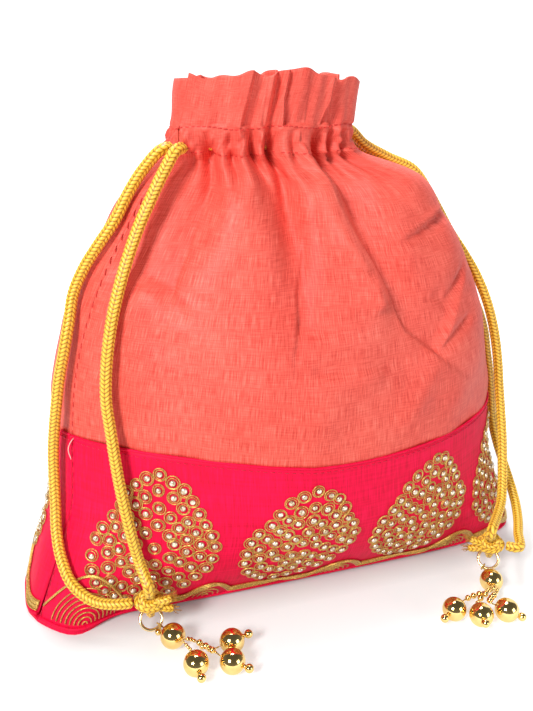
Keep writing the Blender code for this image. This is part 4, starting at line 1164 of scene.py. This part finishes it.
# The knot, in millimetres out to the side, forward and up from the ring's seat: the eye that holds the ring,
# the wraps round it (sideways and forward radius, height, rise, where it is highest, first and last turn, how
# many points, and the cord's radius), and the two cut ends
KNOT_EYE = (
    (-0.6, 0.8, 8.5), (-0.4, 2.6, 6.0), (0, 3.0, 3.0), (0, 2.5, 0.4), (0, 1.6, -1.8), (0, 0, -2.6),
    (0, -1.6, -1.8), (0, -2.5, 0.4), (0, -3.0, 3.0), (0.3, -2.6, 6.0),
)
KNOT_WRAPS = (
    (4.4, 3.0, 5.6, 0.9, 0.8, -200, 165, 30, 0.00195),
    (3.0, 2.5, 8.4, -0.8, 0.0, -150, 190, 24, 0.0018),
)
KNOT_TAILS = (
    ((-2.5, 1.0, 7.8), (-5.4, 1.6, 8.6), (-8.4, 1.2, 9.4)),
    ((-2.5, 1.5, 4.2), (-5.6, 2.4, 3.6), (-9.0, 2.6, 2.6)),
)
EYE_RADIUS, TAIL_RADIUS, KNOT_STEP = 0.00175, 0.0017, 0.0005
FRINGE_THREADS, FRINGE_RADIUS = 26, 0.00011
# The end beads, the beads' holes, the seed beads between them, and the gaps along a strand
END_BEAD = 0.985 * LARGE_BEAD
HOLE_RADIUS, HOLE_DEPTH = 0.0006, 0.0012
SEED_BEAD, SEED_GAP, BEAD_GAP, SEED_PLACE = 0.00072, 0.0001, 0.00045, 0.00022
STRAND_THREAD, STEM_THREAD = 0.0003, 0.0004
# How far the middle strand arches over the table, and the outer two sink
STRAND_RISE = {1: -0.0006, 0: 0.0016, -1: -0.0006}
for side, spec in TASSELS.items():
    middle, seat, towards, across = knot_frame(spec)
    ring_middle, up, ring_across = ring_frame(spec)
    forward = np.cross(across, towards)
    forward = -forward if forward[1] > 0 else forward
    outward = across * np.sign(across[0] * seat[0])

    def knot_path(places):
        """A smooth path through places given in the knot's own directions."""
        route = [seat + (outward * s + forward * f + towards * t) / 1000 for s, f, t in places]
        return smooth_path(route, KNOT_STEP)

    heap = Heap()
    braid(heap, knot_path(KNOT_EYE), EYE_RADIUS)
    for sideways, deep, high, rise, highest, first, last, count, radius in KNOT_WRAPS:
        wrap = [(sideways * math.cos(a), deep * math.sin(a), high + rise * math.sin(a + highest))
                for a in np.radians(np.linspace(first, last, count))]
        braid(heap, knot_path(wrap), radius)
    for tail in KNOT_TAILS:
        line = knot_path(tail)
        braid(heap, line, TAIL_RADIUS)
        ahead = unit(line[-1] - line[-3])
        for _ in range(FRINGE_THREADS):
            spread = random.normal(size=3)
            root = line[-1] + 0.0011 * unit(spread) - ahead * 0.0004
            tip = root + ahead * random.uniform(0.0010, 0.0024) + 0.0006 * spread
            middle = 0.5 * (root + tip) + 0.0002 * random.normal(size=3)
            heap.tube([root, middle, tip], FRINGE_RADIUS, 4, 0, np.tile((0.5, 0.0), (12, 1)))
    heap.make(f"{side}_tied_knot", [BRAID], "bag", "gold_cord", [f"{side}_knot"])

    heap = Heap()
    faced = np.cross(ring_across, up)
    ring_shape(heap, ring_middle, ring_across, up, faced, RING_RADIUS, RING_WIRE, 0, 72, 14)
    heap.make(f"{side}_round_ring", [RING_GOLD], f"{side}_ring_body", "gold_ring", [f"{side}_ring"])

    spoke = -up * math.cos(spec["hold"]) + ring_across * math.sin(spec["hold"])
    held = ring_middle + RING_RADIUS * spoke
    tangent = np.cross(spoke, faced)
    crown_place = np.array((*spec["crown"], LARGE_BEAD))
    axis = unit(spec["crown_axis"])
    entry = crown_place - axis * LARGE_BEAD
    away = entry - axis * 2 * SMALL_BEAD - held
    away = unit(away - tangent * np.dot(away, tangent))
    crown_body = f"{side}_crown_body"
    heap = Heap()
    ring_shape(heap, held, away, np.cross(tangent, away), tangent, LOOP_RADIUS, LOOP_WIRE, 0, 28, 8)
    heap.make(f"{side}_loop", [THREAD_GOLD], crown_body, "tassel_thread", [f"{side}_thread_loop"])
    heap = Heap()
    heap.tube(bend(held + away * LOOP_RADIUS, away, entry + axis * 0.0005, axis, 14), STEM_THREAD, 8)
    heap.make(f"{side}_stem", [THREAD_GOLD], crown_body, "tassel_thread", [f"{side}_thread"])
    collar = entry - axis * (SMALL_BEAD + GAP)
    bead(f"{side}_collar", collar, SMALL_BEAD, axis, crown_body, f"{side}_collar_bead", 24, 14)
    node = f"{side}_crown_bead"
    bead(f"{side}_crown", crown_place, LARGE_BEAD, axis, crown_body, node, 56, 32, HOLE_RADIUS)

    leave = crown_place + axis * (LARGE_BEAD + 2 * GAP)
    beside = unit(np.cross((0, 0, 1), axis)) * 2 * (THREAD + GAP)
    for order, (name, end, end_axis) in zip((1, 0, -1), spec["ends"]):
        end_axis = unit(end_axis)
        end_place = np.array((*end, LARGE_BEAD))
        start = leave + order * spec["fan"] * beside
        arrive = end_place - end_axis * (LARGE_BEAD + GAP)
        path = bend(start, unit(arrive - start) * 0.85 + axis * 0.15, arrive, end_axis, 40)
        line, run = resample(path, 0.0003)
        heap = Heap()
        body = f"{side}_{name}_dangle"
        line[:, 2] += STRAND_RISE[order] * np.sin(np.clip(run / run[-1], 0, 1) * math.pi) ** 0.7
        heap.tube(line, STRAND_THREAD, 6)

        def on_strand(at):
            """A place along the strand, and the way ahead there."""
            places = [np.array([np.interp(a, run, line[:, i]) for i in range(3)]) for a in (at, at + 0.0004)]
            return places[0], places[1] - places[0]

        at = 0.0012 + 0.0006 * abs(order)
        while at < FIRST_BEAD - SMALL_BEAD - 0.0008:
            spot, ahead = on_strand(at)
            ball(heap, spot, SEED_BEAD, ahead, 14, 9)
            at += 2 * SEED_BEAD + SEED_GAP
        at = FIRST_BEAD
        while at < run[-1] - SMALL_BEAD - SEED_GAP:
            spot, ahead = on_strand(at)
            ball(heap, spot, SMALL_BEAD * random.uniform(0.95, 0.99), ahead, 18, 11)
            seed = at + SMALL_BEAD + SEED_PLACE
            if seed < run[-1] - 0.0008:
                ball(heap, on_strand(seed)[0], 0.7 * SEED_BEAD, ahead, 12, 8)
            at += 2 * SMALL_BEAD + BEAD_GAP
        strand = f"{side}_{name}_strand"
        heap.make(f"{side}_{name}_beaded_thread", [POLISHED], body, "small_gold_beads", [strand])
        node = f"{side}_{name}_bead"
        round_bead = f"{side}_{name}_round_bead"
        bead(round_bead, end_place, END_BEAD, end_axis, body, node, 56, 32, HOLE_RADIUS)
        heap = Heap()
        ball(heap, end_place + end_axis * (LARGE_BEAD + GAP + STOPPER_BEAD), STOPPER_BEAD, end_axis, 28, 16)
        ball(heap, end_place + end_axis * (LARGE_BEAD + 0.0001), 0.0008, end_axis, 12, 8)
        heap.make(f"{side}_{name}_end_stopper", [POLISHED], body, "gold_beads", [f"{side}_{name}_stopper"])


# Floor, backdrop and light. The camera sees the floor brightened by a glow that fades out towards the bag, which
# paints a shadow round it besides its cast
# shadow: how bright the floor is close to it, how far the change reaches, and half the size of the bag's
# footprint.
FLOOR_LIFT = 0.42
LIFT_REACH = 0.13
FOOTPRINT = (0.096, 0.022)


def painted_shadow_sweep():
    """A white sweep that keeps the bag's cast shadow. Only the camera and the gold's reflections see it
    brightened, and less so near the bag, which paints a shadow round its footprint.
    """
    material, tree, shader = new_material("studio white")
    parts = add(tree, "ShaderNodeSeparateXYZ", Vector=add(tree, "ShaderNodeTexCoord")["Object"])
    squares = []
    for i, half in enumerate(FOOTPRINT):
        off = maths(tree, "SUBTRACT", maths(tree, "ABSOLUTE", parts[i]), half)
        squares.append(maths(tree, "POWER", maths(tree, "MAXIMUM", off, 0.0), 2.0))
    away = maths(tree, "SQRT", maths(tree, "ADD", *squares))
    spread = add(tree, "ShaderNodeMapRange", Value=away, From_Max=LIFT_REACH)[0]
    # No glow close to the footprint, rising outwards: a painted shadow round the bag.
    curve = ramp(tree, spread, (0.0, (0.0,) * 3), (0.16, (FLOOR_LIFT,) * 3), (1.0, (1.0,) * 3))
    path = add(tree, "ShaderNodeLightPath")
    seen = maths(tree, "MAXIMUM", path["Is Camera Ray"], path["Is Glossy Ray"])
    feed(tree, shader, Base_Color=ramp(tree, object_noise(tree, 3.0), (0.3, (0.57,) * 3), (0.7, (0.59,) * 3)),
         Roughness=0.75, Specular_IOR_Level=0.15, Emission_Color=(1, 1, 1, 1),
         Emission_Strength=maths(tree, "MULTIPLY", seen, curve))
    return material


SWEEP_FRONT, SWEEP_BEND, SWEEP_RADIUS, SWEEP_TOP, SWEEP_HALF = -2.0, 1.2, 0.8, 3.0, 3.0
curve = [(SWEEP_BEND + SWEEP_RADIUS * math.sin(a), SWEEP_RADIUS * (1 - math.cos(a)))
         for a in np.linspace(0, math.pi / 2, 16)]
profile = [(SWEEP_FRONT, 0.0), *curve, (SWEEP_BEND + SWEEP_RADIUS, SWEEP_TOP)]
c, s = math.cos(TURNED), math.sin(TURNED)
points = [(x * c - y * s, x * s + y * c, z) for y, z in profile for x in (-SWEEP_HALF, SWEEP_HALF)]
mesh = bpy.data.meshes.new("sweep")
mesh.from_pydata(points, [], [(2 * i, 2 * i + 1, 2 * i + 3, 2 * i + 2) for i in range(len(profile) - 1)])
mesh.shade_smooth()
mesh.materials.append(painted_shadow_sweep())
sweep = bpy.data.objects.new("sweep", mesh)
bpy.context.scene.collection.objects.link(sweep)

world = bpy.data.worlds.new("studio")
bpy.context.scene.world = world
world.use_nodes = True
tree = world.node_tree
parts = add(tree, "ShaderNodeSeparateXYZ", Vector=add(tree, "ShaderNodeTexCoord")["Generated"])
low, level, high = (0.95, 0.95, 0.95), (0.75, 0.75, 0.76), (0.50, 0.50, 0.52)
WORLD_STRENGTH, BACKDROP_STRENGTH = 0.21, 1.2
on_camera = add(tree, "ShaderNodeLightPath")["Is Camera Ray"]
feed(tree, tree.nodes["Background"], Color=ramp(tree, parts[2], (0.0, low), (0.35, level), (0.8, high)),
     Strength=maths(tree, "MULTIPLY_ADD", on_camera, BACKDROP_STRENGTH, WORLD_STRENGTH))


def area_light(name, place, size, power, target=(0, 0, 0.09)):
    """A square white light turned towards the bag."""
    data = bpy.data.lights.new(name, "AREA")
    data.size = size
    data.energy = power
    light = bpy.data.objects.new(name, data)
    light.location = place
    light.rotation_euler = (Vector(target) - Vector(place)).to_track_quat("-Z", "Y").to_euler()
    bpy.context.scene.collection.objects.link(light)


area_light("key", (-0.90, -0.80, 0.85), 0.36, 19.5)
area_light("fill", (0.80, -1.00, 0.45), 0.6, 4.2)
area_light("top", (0.05, 0.32, 1.15), 0.45, 10.0)

bpy.context.scene.view_settings.view_transform = "Standard"
